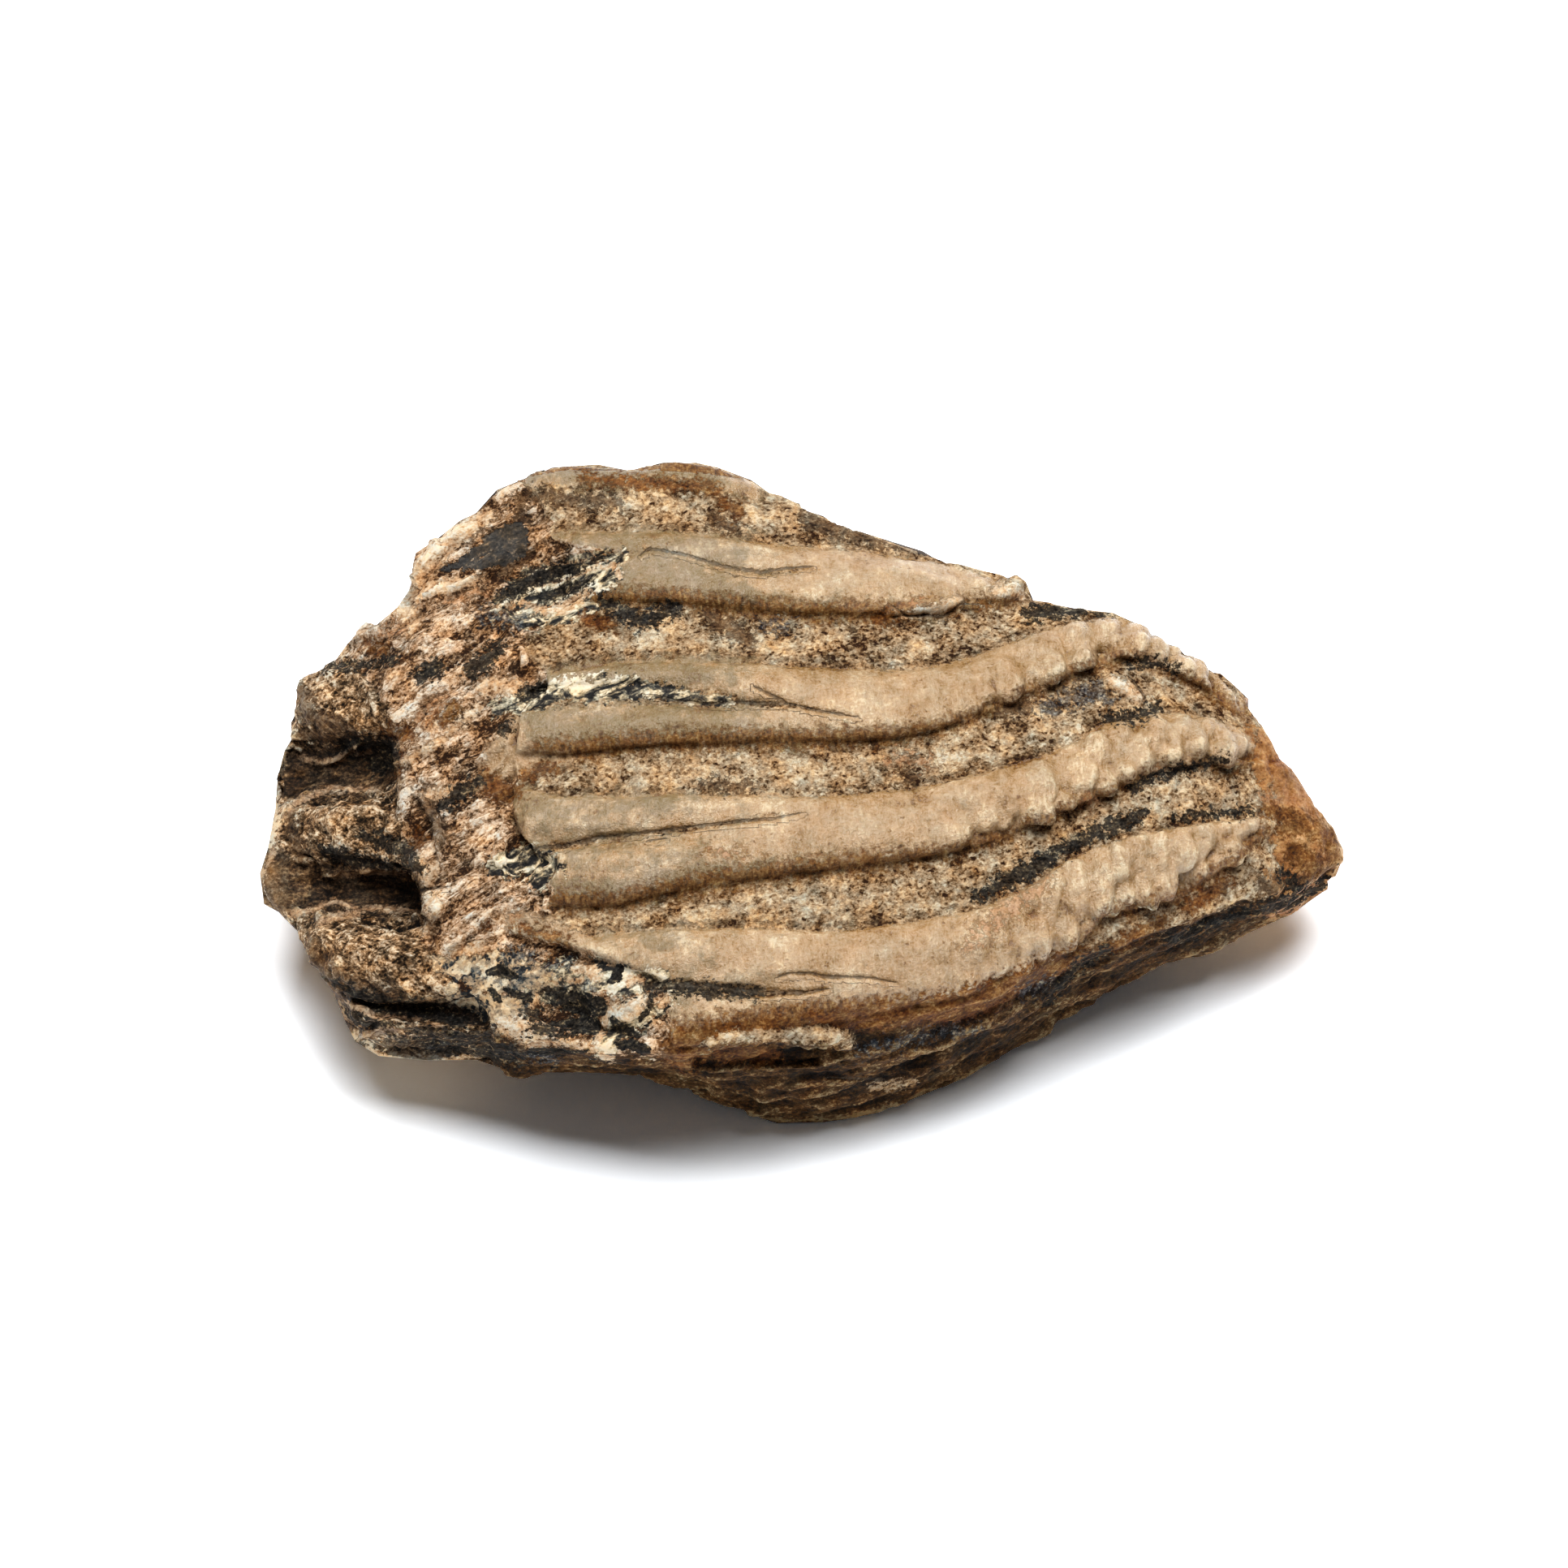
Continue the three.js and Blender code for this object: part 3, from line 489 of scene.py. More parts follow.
triangles = sum(len(face.vertices) - 2 for face in tooth.data.polygons)
hidden = tooth.vertex_groups.new(name="thinned_out")
out_of_sight = 1 - zone["seen"]
for share in (0.25, 1.0):
    chosen = np.flatnonzero((out_of_sight > 0.5) == (share == 1.0))
    hidden.add(chosen.tolist(), share, "REPLACE")
finish_with(
    "DECIMATE",
    ratio=min(1, MOST_TRIANGLES / triangles),
    vertex_group="thinned_out",
    vertex_group_factor=1.0,
    use_collapse_triangulate=True,
)
tooth.vertex_groups.clear()
bpy.ops.object.shade_smooth()

# Stains
# What the ground left on the tooth, each kind along the lines where it gathered: charcoal, slate and
# blue-black manganese, iron rust, orange tint and brown skin; one charcoal line is a painted shadow and
# one blue-black line a painted sheen. Beside them lie the marbled, flecked and cream bare dentine, the
# crust of cement, the ends of the enamel and the dark plank of root, which begins with painted shade
# along the lower-left rim.
STAINS = {
    "charcoal_and_shadow": [
        # Painted shadow: this first line is the thin dark shade along the top edge of the uppermost root
        # lobe, where the broken piece behind it rises.
        [(-39.2, 10.5, 0.33), (-36.5, 10.4, 0.33), (-33.3, 11, 0.27)],
        [(-37.5, 4, 0.4), (-35.5, 3.9, 0.6), (-33.7, 3.5, 0.67)], [(-34.7, 2.6, 1.07), (-33.9, 2.7, 0.8)],
        [(-35.9, -3.5, 0.33), (-33.9, -4.2, 0.6), (-32.5, -4.9, 0.6), (-31.5, -6.1, 0.53)],
        [(-38.9, -4.6, 0.33), (-36.5, -5.7, 0.53), (-32.5, -6.3, 0.4)],
        [(-36.5, -16.7, 0.53), (-33.9, -17.4, 0.8), (-30.5, -18.1, 0.73), (-27.9, -18.7, 0.4)],
        [(-21.1, -16.3, 0.4), (-19.9, -16.7, 0.53), (-18.4, -17, 0.67)],
        [(-22.5, -17.9, 0.4), (-21.6, -18.3, 0.4)],
        [(-21.9, -19.1, 0.4), (-19.9, -19.4, 0.6), (-18.4, -19, 0.6)],
        [(-24.7, 15.9, 0.33), (-23.2, 17, 0.6), (-21.3, 17.9, 0.6), (-19.2, 18.3, 0.4),
         (-17.2, 18.9, 0.2)],
        [(-21.3, 16.1, 0.33), (-19.2, 16.6, 0.33), (-17.5, 17.4, 0.27)],
        [(-31.2, 9.7, 0.6), (-29.9, 10.3, 0.6)],
        [(-27.1, 10.1, 0.6), (-25.7, 11, 0.67), (-24.9, 12, 0.4)], [(-24.3, 5.3, 0.53)],
        [(-29.3, -1, 0.4), (-27.9, 0.1, 0.6), (-26.3, 1, 0.4)],
        [(18.7, 14.7, 0.6), (20.8, 15, 0.6), (23.5, 15.1, 0.47), (25.3, 14.8, 0.2)],
        [(25.1, 6.2, 0.33), (27.5, 6.3, 0.4), (29.1, 7, 0.27)],
        [(26.9, 10.6, 0.27), (28.8, 10.7, 0.33), (30.8, 10.1, 0.27)],
        [(14.5, -8.4, 0.4), (16.5, -7.4, 0.47), (18.3, -6.5, 0.67), (20.8, -4.9, 0.47),
         (23.5, -3.5, 0.6), (26.1, -2.5, 0.53), (28, -1.7, 0.27)],
        [(30.5, -2.1, 0.2), (33.5, -1.7, 0.27), (36.8, -1.4, 0.2)],
        [(27, 0.5, 0.27), (30.2, 1.7, 0.27), (34.8, 2.8, 0.2)],
        [(39.6, -6.5, 0.33), (40.3, -7.7, 0.53), (41.6, -8.2, 0.4)],
        [(38.1, -9.4, 0.47), (40.8, -8.7, 0.53), (43.1, -7.7, 0.53), (44.3, -6.5, 0.33)],
        [(20.1, -17, 0.27), (22.5, -14.3, 0.4), (24.9, -12.9, 0.33)],
        [(-36.8, -18.3, 0.93), (-33.9, -19, 0.6)],
        [(-38, -15.7, 0.27), (-35.9, -16.6, 0.4), (-33.9, -17.3, 0.4)],
        [(-9.9, -15.9, 0.4), (-7.2, -16.2, 0.47), (-3.9, -16.3, 0.33)],
        [(-16.2, 15.7, 0.4), (-13.2, 14.1, 0.6), (-10.5, 15.1, 0.53)],
        [(-22.7, 8.1, 0.53), (-21.7, 8.5, 0.4)],
        [(30.2, -12.1, 0.33), (33.7, -10.7, 0.33), (37.1, -9.7, 0.33)],
    ],
    "wedge": [
        [(-29.8, 18.3, 0.07), (-28.5, 18.6, 0.33), (-26.9, 19.1, 0.8), (-25.2, 19.9, 1.33),
         (-24, 20.5, 1.53), (-23.3, 21.5, 0.73)],
    ],
    "slate": [
        [(-25.6, -14.7, 0.33), (-24.7, -14.5, 0.53), (-23.5, -15, 0.33)],
        [(-25.5, -15.9, 0.27), (-24.7, -17, 0.27)],
        [(-24.3, -16, 0.2), (-22.9, -16.6, 0.33), (-22.1, -16.9, 0.2)],
        [(-19.2, -17.4, 0.4), (-17.7, -17.5, 0.8), (-16.7, -17.5, 0.87)],
        [(-20.3, -19, 0.27), (-18.9, -19, 0.6), (-17.2, -19, 0.8)],
        [(-19.9, -19.9, 0.13), (-23.2, -20, 0.07), (-24.5, -19.9, 0.07)],
        [(-15.5, -18.5, 0.27), (-14.9, -19.2, 0.47), (-14, -19.5, 0.4), (-13.6, -19.7, 0.13)],
        [(-12.3, -16.4, 0.1), (-12.3, -17.2, 0.23), (-12.7, -17.9, 0.3), (-13.2, -18.5, 0.23),
         (-13.4, -18.7, 0.1)],
        [(-13.5, -19.9, 0.13), (-12.7, -19, 0.13), (-11.7, -18.2, 0.13), (-10.9, -17.4, 0.1),
         (-10, -16.3, 0.1)],
        [(-14.9, -17.2, 0.07), (-13.5, -16.7, 0.07), (-12.3, -16.5, 0.08), (-11.2, -16.2, 0.07),
         (-10, -16.3, 0.1), (-8.4, -16.5, 0.07)],
        [(-14.8, -20.6, 0.4), (-13.9, -20.5, 0.53), (-12.8, -21, 0.47)],
        [(-15.7, -15.4, 0.27), (-15.1, -14.9, 0.53), (-14.8, -14.2, 0.33)],
        [(-22.2, -21.1, 0.27), (-19.9, -21.2, 0.27), (-17.5, -21.1, 0.13)],
        [(-21.3, 16.1, 0.33), (-19.5, 16.5, 0.4), (-18.2, 17, 0.27)],
        [(-22.5, 17.4, 0.33), (-20.5, 18.1, 0.53), (-18.4, 18.5, 0.4)],
    ],
    "flecked": [
        [(-29.7, -13.9, 0.67), (-26.5, -14.7, 1.6), (-23.2, -14.9, 1.73), (-21.2, -15.3, 0.93)],
        [(-28.5, -16.3, 0.67), (-25.9, -17.5, 1.2), (-23.5, -17.4, 0.93)],
    ],
    "enamel_end": [
        [(-23.3, 5.4, 0.47), (-23.7, 4.1, 1.13), (-24.5, 2.6, 1.47), (-25.6, 1.1, 0.87)],
        [(-23.2, 2.5, 0.93), (-21.1, 2.3, 0.53), (-19.2, 2.6, 0.27)],
        [(-23.7, -10.3, 0.4), (-22.2, -10.6, 0.53), (-19.9, -11.3, 0.53), (-18.1, -12.1, 0.53)],
        [(-17.3, -12.2, 0.4), (-16.2, -12.6, 0.53), (-15.1, -13.3, 0.47)],
    ],
    # Painted shade: the first stroke begins along the lower-left rim, which the lit table would brighten
    # from below; the rest is the dark plank of root.
    "plank_and_rim_shade": [
        [(-36.8, -19.4, 0.47), (-36.4, -20.4, 0.67), (-35.1, -21.1, 1), (-31.2, -21.1, 1.33),
         (-26.5, -21.1, 1.27), (-23.2, -21.4, 0.93)],
        [(-32.2, -19.4, 0.4), (-28.5, -19.7, 0.53), (-24.5, -19.9, 0.33)],
    ],
    "blue_black_and_sheen": [
        [(20.1, 6.9, 0.33), (22.1, 7.8, 0.6), (24.1, 8.5, 0.6), (25.1, 7.7, 0.4)],
        [(-24, -13.1, 0.2), (-22.2, -13.4, 0.2)], [(-25.5, -15, 0.2), (-23.7, -15.1, 0.2)],
        [(-20.5, -14.3, 0.33), (-18.9, -14.2, 0.27)], [(-19.9, -15.7, 0.27), (-17.2, -15.3, 0.27)],
        # Painted sheen: this thin line is the bluish-grey reflection along a ridge of the front wall.
        [(4.8, -20.9, 0.13), (10.1, -19.9, 0.2), (14.1, -19.3, 0.2)],
        [(18.3, -16.3, 0.33), (20.8, -15.5, 0.33)],
        [(-29.9, -20.9, 0.6), (-25.9, -21.3, 0.6), (-20.5, -21.4, 0.53)],
        [(-13.5, 14.1, 0.4), (-12.4, 14.5, 0.47)], [(-3.2, 13.8, 0.33), (-1.5, 13.5, 0.27)],
        [(-25.9, 14.5, 0.47), (-23.2, 14.2, 0.6)],
    ],
    "marble": [
        [(-24.4, 15.7, 0.93), (-21.9, 16.7, 1.6), (-19.2, 17.5, 1.87), (-16.5, 18.1, 1.73),
         (-15.1, 19.1, 0.8)],
        [(-23.2, 14.3, 0.8), (-20.5, 14.7, 1.07), (-17.9, 15.4, 0.93)],
        [(-24.9, 7, 0.6), (-21.9, 7.8, 1.07), (-19.2, 8.5, 0.93), (-15.2, 8.6, 0.93),
         (-11.2, 8.3, 0.73), (-9.2, 7.9, 0.53), (-5.9, 7.5, 0.33)],
        [(-24.9, -5.9, 0.93), (-22.5, -5.5, 1.47), (-20.7, -5.9, 1.07), (-21.5, -7.5, 0.67)],
        [(-23.2, -15.5, 1.33), (-19.9, -15.5, 1.6), (-16.5, -14.9, 1.33), (-13.9, -15.5, 1.2)],
        [(-16.2, -20.9, 0.8), (-14.9, -18.9, 1.33), (-12.9, -17.5, 1.47), (-11.2, -17, 0.67)],
        [(-13.5, -15.4, 0.8), (-11.7, -15.1, 0.8), (-10.7, -15.9, 0.53)],
    ],
    "crust": [
        [(-8, -20.5, 0.27), (-5.9, -19.8, 0.4), (-1.9, -19.8, 0.53), (1.5, -19.7, 0.73),
         (3.6, -20.1, 0.73)],
        [(5.6, -24.1, 0.33), (7.5, -23.9, 0.47), (9.1, -23.8, 0.33)],
    ],
    "cream": [
        [(-32.7, 14.5, 0.6), (-32.2, 16.1, 0.93), (-30.9, 18.5, 1), (-29.3, 20.3, 0.87),
         (-27.5, 21.8, 0.73), (-25.9, 22.8, 0.6)],
        [(-31.2, 16.7, 0.67), (-28.5, 17, 0.67), (-25.9, 17.5, 0.4)],
        [(-22.2, 19.1, 0.13), (-19.9, 18.7, 0.2), (-17.2, 19.1, 0.2)],
        [(-21.3, 17, 0.13), (-19.2, 17.7, 0.2), (-17.1, 18.5, 0.27)],
        [(-25.1, 15.3, 0.27), (-23.2, 15.7, 0.27), (-21.2, 15, 0.33), (-19.2, 15.3, 0.53),
         (-17.7, 16.6, 0.4)],
        [(-16.9, 18.8, 0.27), (-15.2, 18.5, 0.33), (-14.9, 17.8, 0.27)],
        [(-25.9, 8.6, 0.8), (-23.2, 8.8, 0.6)],
        [(-32.7, 2.6, 0.33), (-31.2, 3.3, 0.33), (-29.5, 4.3, 0.33), (-28.2, 5.5, 0.33),
         (-26.5, 7.1, 0.4)],
        [(-30.9, 0.1, 0.27), (-29.5, -0.3, 0.47), (-28.5, 0.3, 0.4)], [(-36.9, -5.9, 0.2)],
        [(-31.7, 14.5, 0.47), (-32, 13.1, 0.33)],
        [(-31.5, -5.5, 0.6), (-30.5, -6.9, 0.67), (-29.9, -5.9, 0.4)],
        [(-30.5, -8.5, 0.53), (-29.9, -9.4, 0.6)], [(-30.2, -10.9, 0.47), (-30.5, -11.5, 0.4)],
        [(-24.5, 8.8, 0.47), (-23.5, 8.5, 0.53)], [(-26.1, -12.5, 0.4), (-28.5, -12.9, 0.53)],
        [(-23.2, -18.2, 0.4), (-21.9, -19, 0.4)],
        [(-15.4, -18, 0.47), (-14.5, -17.9, 0.8), (-13.5, -17.3, 0.87), (-12.7, -16.8, 0.53)],
        [(-12, -17, 0.47), (-11.3, -16.7, 0.6), (-11.1, -17.3, 0.47)],
        [(-16.7, -20.7, 0.27), (-16.5, -19.5, 0.33), (-16.1, -18.4, 0.33), (-15.7, -17.5, 0.33),
         (-15, -16.9, 0.27)],
        [(-18.5, -14.5, 0.4), (-17.6, -14.1, 0.6), (-16.9, -14.9, 0.53)],
        [(-16.4, -21.4, 0.33), (-15.6, -21.7, 0.27)],
        [(-22.5, -18.2, 0.33), (-22, -17.4, 0.4), (-21.5, -16.3, 0.27), (-19.9, -15.5, 0.2),
         (-17.9, -15.2, 0.13)],
        [(-24.5, -18.7, 0.47), (-23.2, -19, 0.53), (-22.2, -19.4, 0.33)],
        [(-22.9, -20.7, 0.47), (-21.6, -20.5, 0.33), (-19.2, -20.4, 0.27), (-16.9, -20.3, 0.2)],
        [(-14.2, -15.5, 0.33), (-13.2, -15.2, 0.4)], [(-12.5, -19, 0.33), (-11.7, -18.7, 0.4)],
        [(25.3, 9.3, 0.4), (26.5, 8.7, 0.53), (27.6, 7.8, 0.53)],
        [(15.8, 16.6, 0.4), (17.5, 16.7, 0.53), (18.3, 16.1, 0.27)],
        [(8.5, 14.6, 0.33), (10.8, 15, 0.47), (12.8, 15.7, 0.4)],
        [(-25.2, -19.4, 0.33), (-23.2, -19.9, 0.4), (-21.1, -20.2, 0.47)],
    ],
    "rust": [
        [(-26, 1.3, 0.47), (-25.3, 0.5, 0.8), (-24.4, 0.2, 0.8), (-23.6, 0.1, 0.47)],
        [(-22.8, 1.3, 0.27), (-21.3, 1.8, 0.33), (-19.9, 2.1, 0.27)],
        [(-17.7, 14.2, 0.33), (-16.4, 13.9, 0.47), (-15.5, 13.5, 0.27)],
        [(-33.1, 3.7, 0.2), (-32.7, 2.7, 0.33), (-33.2, 1.7, 0.2)],
        [(-9.9, -20.9, 1.47), (-8.4, -20.5, 1.27), (-6.9, -19.5, 0.73), (-3.9, -19.1, 0.47),
         (0.2, -18.7, 0.53), (3.5, -18.5, 0.73), (6.6, -18.3, 0.93), (9.5, -18.1, 1.07),
         (13, -17.5, 1.07), (16.1, -16.3, 1), (19.3, -14.9, 0.87), (22.8, -13.3, 0.67)],
        [(-10.2, -20.9, 0.6), (-9.5, -21.9, 0.67)],
        [(-6.8, -21.5, 0.53), (-4.5, -21.3, 0.8), (-2.4, -21.5, 0.53)],
        [(39.5, -2.9, 0.53), (41.5, -2.6, 0.67), (43.5, -3.9, 0.67), (43.8, -6.2, 0.53)],
        [(38.1, -1.5, 0.4), (40.1, -1.9, 0.53)], [(40.5, -4.9, 0.67), (42.1, -6.2, 0.8)],
        [(31.6, -9.4, 0.4), (32.8, -8.5, 0.47), (34.7, -7.5, 0.47)],
        [(23.8, -13.2, 0.4), (26.5, -12.2, 0.4), (29.5, -10.5, 0.4)],
        [(-6.3, 23.9, 0.33), (-5.3, 23, 0.4)],
        [(-23.2, -11, 0.2), (-21.2, -11.5, 0.2), (-19.2, -12.2, 0.2)],
        [(-31.2, -3.4, 0.27), (-31.9, -4.5, 0.27)], [(6.4, 14.3, 0.4), (7.5, 14.1, 0.33)],
        [(14.9, 15.3, 0.33)], [(-25.9, -10.9, 0.27)], [(-29.3, 22.5, 0.4), (-26.5, 23.7, 0.4)],
        [(-35.5, 12.1, 0.47), (-34.5, 11.4, 0.4)], [(-32.5, 4.8, 0.4), (-33.9, 5.1, 0.33)],
        [(-29.5, 6.1, 0.4), (-28.5, 7.1, 0.33)],
        [(-17.9, 25.8, 0.33), (-12.5, 25.5, 0.33), (-7.2, 25.1, 0.33)],
    ],
    "orange": [
        [(7.3, 2.7, 0.4), (8.8, 2.9, 0.53), (10.4, 2.5, 0.4)],
        [(14.5, -11.5, 0.6), (16.8, -9.7, 0.67), (20.1, -7.2, 0.47)],
        [(15.1, -10.9, 0.53), (13.8, -12.2, 0.53)], [(-7.5, -4.9, 0.2), (-4.9, -5.3, 0.2)],
        [(-23.6, -10.5, 0.47), (-22.5, -10.9, 0.33)], [(38.1, -0.5, 0.53), (40.8, -0.9, 0.53)],
        [(9.5, 15.5, 0.33)], [(23.5, -0.9, 0.33)], [(-34.5, 13.1, 0.53), (-32.9, 13.8, 0.53)],
        [(-28.5, 16.1, 0.53), (-26.5, 16.5, 0.53)], [(-29.5, 7.1, 0.6), (-31.2, 6.1, 0.6)],
    ],
    "brown": [
        [(-41.5, 5, 0.47), (-39.2, 4.7, 0.53), (-36.5, 4.6, 0.53)],
        [(-43.7, -5.7, 1.13), (-43.6, -7.9, 1.33), (-42.5, -9.7, 0.93)],
        [(-41.5, 8.5, 0.8), (-40.5, 6.5, 1), (-37.9, 5.4, 0.73)],
        [(38.1, -7.7, 0.67), (40.8, -7.3, 0.8), (43.5, -6.1, 0.6)],
        [(-42.1, -1.9, 0.4), (-41.9, -3.5, 0.53), (-40.9, -5.2, 0.6)],
        [(-40.2, -12.5, 0.67), (-39.3, -14.5, 1), (-36.8, -16.1, 1.2), (-33.3, -17.1, 0.93),
         (-30.5, -17.7, 0.6)],
        [(-28.5, 22.5, 0.67), (-26.5, 21.8, 0.53), (-27.5, 21.1, 0.53)],
        [(-22.5, 24.5, 0.53), (-19.2, 24.1, 0.53), (-15.2, 23.9, 0.53)],
        [(-23.2, 23.8, 0.53), (-22.9, 22.5, 0.53)],
        [(-7.7, 14.5, 0.33), (-5.9, 13.5, 0.8), (-4.2, 12.3, 0.53)],
        [(-8.3, 0.7, 0.33), (-6.5, 0.6, 0.47), (-4.5, 0.6, 0.33)], [(8.7, 1.8, 0.53), (9.3, 1.3, 0.4)],
        [(-30.9, 0.1, 0.67), (-30.4, -1.5, 0.67), (-29.5, -3.5, 0.53)], [(-23.2, 3.1, 0.2)],
        [(-7.2, 22.5, 0.53), (-5.5, 21.8, 0.47)], [(0.8, 22.5, 0.8), (4.1, 21.5, 0.8), (7.5, 20.6, 0.67)],
        [(-24.5, 18.5, 0.4), (-22.5, 19.1, 0.4)], [(-25.2, 21.1, 0.4)],
        [(16.8, 6.8, 0.53), (18.3, 7.1, 0.53)],
    ],
}
STAINS["tan"] = RIMS

places, normals = read(tooth.data)
page = page_of(places)
zone = zones(page, normals)
u, v = page[:, 0], page[:, 1]
# Painted shade and light: each vertex's rise out of its evened neighbours, over two widths, becomes the
# high attribute, which the looks turn into lighter colours on lumps and knob tops and darker ones in
# hollows and creases.
lumps, forms = (
    np.sum((places - evened(tooth.data, places, rounds)) * normals, axis=1) for rounds in (14, 60)
)
keep_on_mesh("high", np.clip(0.5 + zone["seen"] * (0.5 * lumps + 0.35 * forms), 0, 1))
for name in ("enamel", "root", "canal", "front_wall"):
    keep_on_mesh(name, np.clip(zone[name], -3, 3))
keep_on_mesh("broken", np.clip(-zone["sound"], -3, 3))
low = ease(2.2 - zone["above_lower_side"], -0.6, 1.4)
cool = ease(-u, -1, 14) * (0.3 + 0.5 * ease(v, -3, 3)) + 0.5 * low * ease(-u, -16, 8) * ease(v, -14, -8)
keep_on_mesh("grey_enamel", np.minimum(zone["enamel"], 4 * (cool - 0.3)))
# Stain and painted shade: a darker brown band along the lower side of each enamel ridge, partly the stain
# gathered at its foot and partly shade painted on the lower flank.
foot = 0.75 - 0.5 * ease(u, 4, 14) + 1.3 * ease(-v, 15.4, 17.8) * ease(-u, -14, 0)
keep_on_mesh("foot_stain_and_shade", np.minimum(zone["enamel"], foot - zone["above_lower_side"]))
above_foot = ease(zone["above_lower_side"], 1.0, 2.0)
keep_on_mesh("seam", np.clip(zone["enamel"] + 0.12 + 3 * (zone["sound"] < 0.2) + 0.35 * above_foot, -3, 3))
keep_on_mesh("crown_tip", np.clip(u - 38.9 + 0.35 * np.clip(v + 2.5, 0, 5), -3, 3))
for name, strokes in STAINS.items():
    keep_on_mesh(name, beside_strokes(page, strokes)[0] * zone["seen"] - 3 * (1 - zone["seen"]))
near, side = beside_strokes(page, CRACKS)
keep_on_mesh("crack", np.where((near > -0.4) & (zone["seen"] > 0.5), side, 6))

# Fossil tooth material
# Enamel, dentine and cement turned to stone and stained by iron and manganese: satin cream enamel,
# granular cement, splintered dentine and dark polished canals. The tooth itself has no paint or varnish;
# the high grain and several looks below paint shade and light into its colours.
material = bpy.data.materials.new("fossil_tooth")
material.use_nodes = True
tree = material.node_tree
tree.nodes.clear()


def linear(colour):
    """An sRGB hex colour as linear red, green, blue and alpha."""
    parts = [int(colour[i:i + 2], 16) / 255 for i in (0, 2, 4)]
    return [c / 12.92 if c < 0.04045 else ((c + 0.055) / 1.055) ** 2.4 for c in parts] + [1.0]


def add(kind, inputs, stops=None, **settings):
    """Adds a node with its settings; an input is a value, an output, or a node for its first output."""
    node = tree.nodes.new("ShaderNode" + kind)
    for name, value in settings.items():
        setattr(node, name, value)
    for name, value in inputs.items():
        value = value.outputs[0] if isinstance(value, bpy.types.Node) else value
        if isinstance(value, bpy.types.NodeSocket):
            tree.links.new(value, node.inputs[name])
        else:
            node.inputs[name].default_value = value
    if stops:
        while len(node.color_ramp.elements) < len(stops):
            node.color_ramp.elements.new(0.5)
        for element, (place, colour) in zip(node.color_ramp.elements, stops):
            element.position = place
            element.color = linear(colour)
    return node


# Millimetres on the page: the frame's coordinates turned to look down on the ridged side.
on_page = add(
    "Mapping",
    {
        "Vector": add("TexCoord", {}).outputs["Object"],
        "Rotation": (LOOK_DOWN - math.pi / 2, 0, 0),
        "Scale": (1000, 1000, 1000),
    },
)


# The grains that the looks are mixed from: the size of each in millimetres, how far it is stretched
# along and across its run, which way that run turns in degrees, its detail, roughness and swirl.
GRAINS = {
    "speck": (0.24, (1.3, 1, 1), 15, 4, 0.65, 0.0),
    "mottle": (1.5, (1.4, 1, 1), 8, 6, 0.72, 0.3),
    "streak": (0.8, (5, 1, 1), 12, 5, 0.7, 0.3),
    "flute": (0.4, (0.8, 2.4, 2.4), 4, 3, 0.6, 0.0),
    "splinter": (1.0, (2.6, 1, 1), 32, 6, 0.72, 1.0),
    "patch": (4.5, (1, 1, 1), 0, 3, 0.55, 0.5),
    "swirl": (1.5, (2.8, 1, 1), 24, 4, 0.6, 1.8),
    "fibre": (0.5, (7, 1, 1), -4, 4, 0.65, 0.2),
    "thread": (0.5, (4.5, 1, 1), -38, 5, 0.7, 0.5),
    "fine_rag": (0.5, (1, 1, 1), 0, 5, 0.7, 0.0),
    "rag": (0.9, (1, 1, 1), 0, 5, 0.7, 0.0),
    "wide_rag": (1.6, (1, 1, 1), 0, 5, 0.7, 0.0),
}
# Chips and grit are small faces, each of its own colour; dots and pits are pin-prick holes.
CELLS = {
    "chip": (0.9, (2.2, 1, 1), 30),
    "grit": (0.28, (1.4, 1, 1), 12),
    "dot": (1.1, (1, 1, 1), 0),
    "pit": (0.62, (1.4, 1, 1), 18),
}
# The high grain carries that painted shade and light into the looks.
grains = {"high": add("Attribute", {}, attribute_name="high").outputs["Fac"]}
for seed, (name, (period, stretch, turn, detail, rough, swirl)) in enumerate(GRAINS.items()):
    laid = add(
        "Mapping",
        {
            "Vector": on_page,
            "Location": (seed * 13.7, seed * 7.1, seed * 3.3),
            "Rotation": (0, 0, math.radians(turn)),
            "Scale": [period * s for s in stretch],
        },
        vector_type="TEXTURE",
    )
    cloud = {"Scale": 1, "Detail": detail, "Roughness": rough, "Distortion": swirl}
    grains[name] = add("TexNoise", {"Vector": laid, **cloud})
wander = add("TexNoise", {"Vector": on_page, "Scale": 1.4, "Detail": 3}).outputs["Color"]
wandered = add("VectorMath", {0: on_page, 1: wander}, operation="ADD")
for name, (period, stretch, turn) in CELLS.items():
    laid = add(
        "Mapping",
        {
            "Vector": wandered,
            "Rotation": (0, 0, math.radians(turn)),
            "Scale": [period * s for s in stretch],
        },
        vector_type="TEXTURE",
    )
    grains[name] = add("TexVoronoi", {"Vector": laid, "Scale": 1})
grains["chip"] = grains["chip"].outputs["Color"]
grains["grit"] = grains["grit"].outputs["Color"]
# Dark marks on even ground: round the dots and pits, and along the thin cracks between splinters.
off_crack = add("Math", {0: grains["splinter"], 1: 0.5}, operation="SUBTRACT")
off_crack = add("Math", {0: off_crack}, operation="ABSOLUTE")
MARKS = {
    "dot": (grains["dot"], 0.06, 0.16),
    "pit": (grains["pit"], 0.12, 0.32),
    "crevice": (off_crack, 0.004, 0.03),
}
for name, (distance, nearest, farthest) in MARKS.items():
    ends = {"Value": distance, "From Min": nearest, "From Max": farthest, "To Max": 0.5}
    grains[name] = add("MapRange", ends)
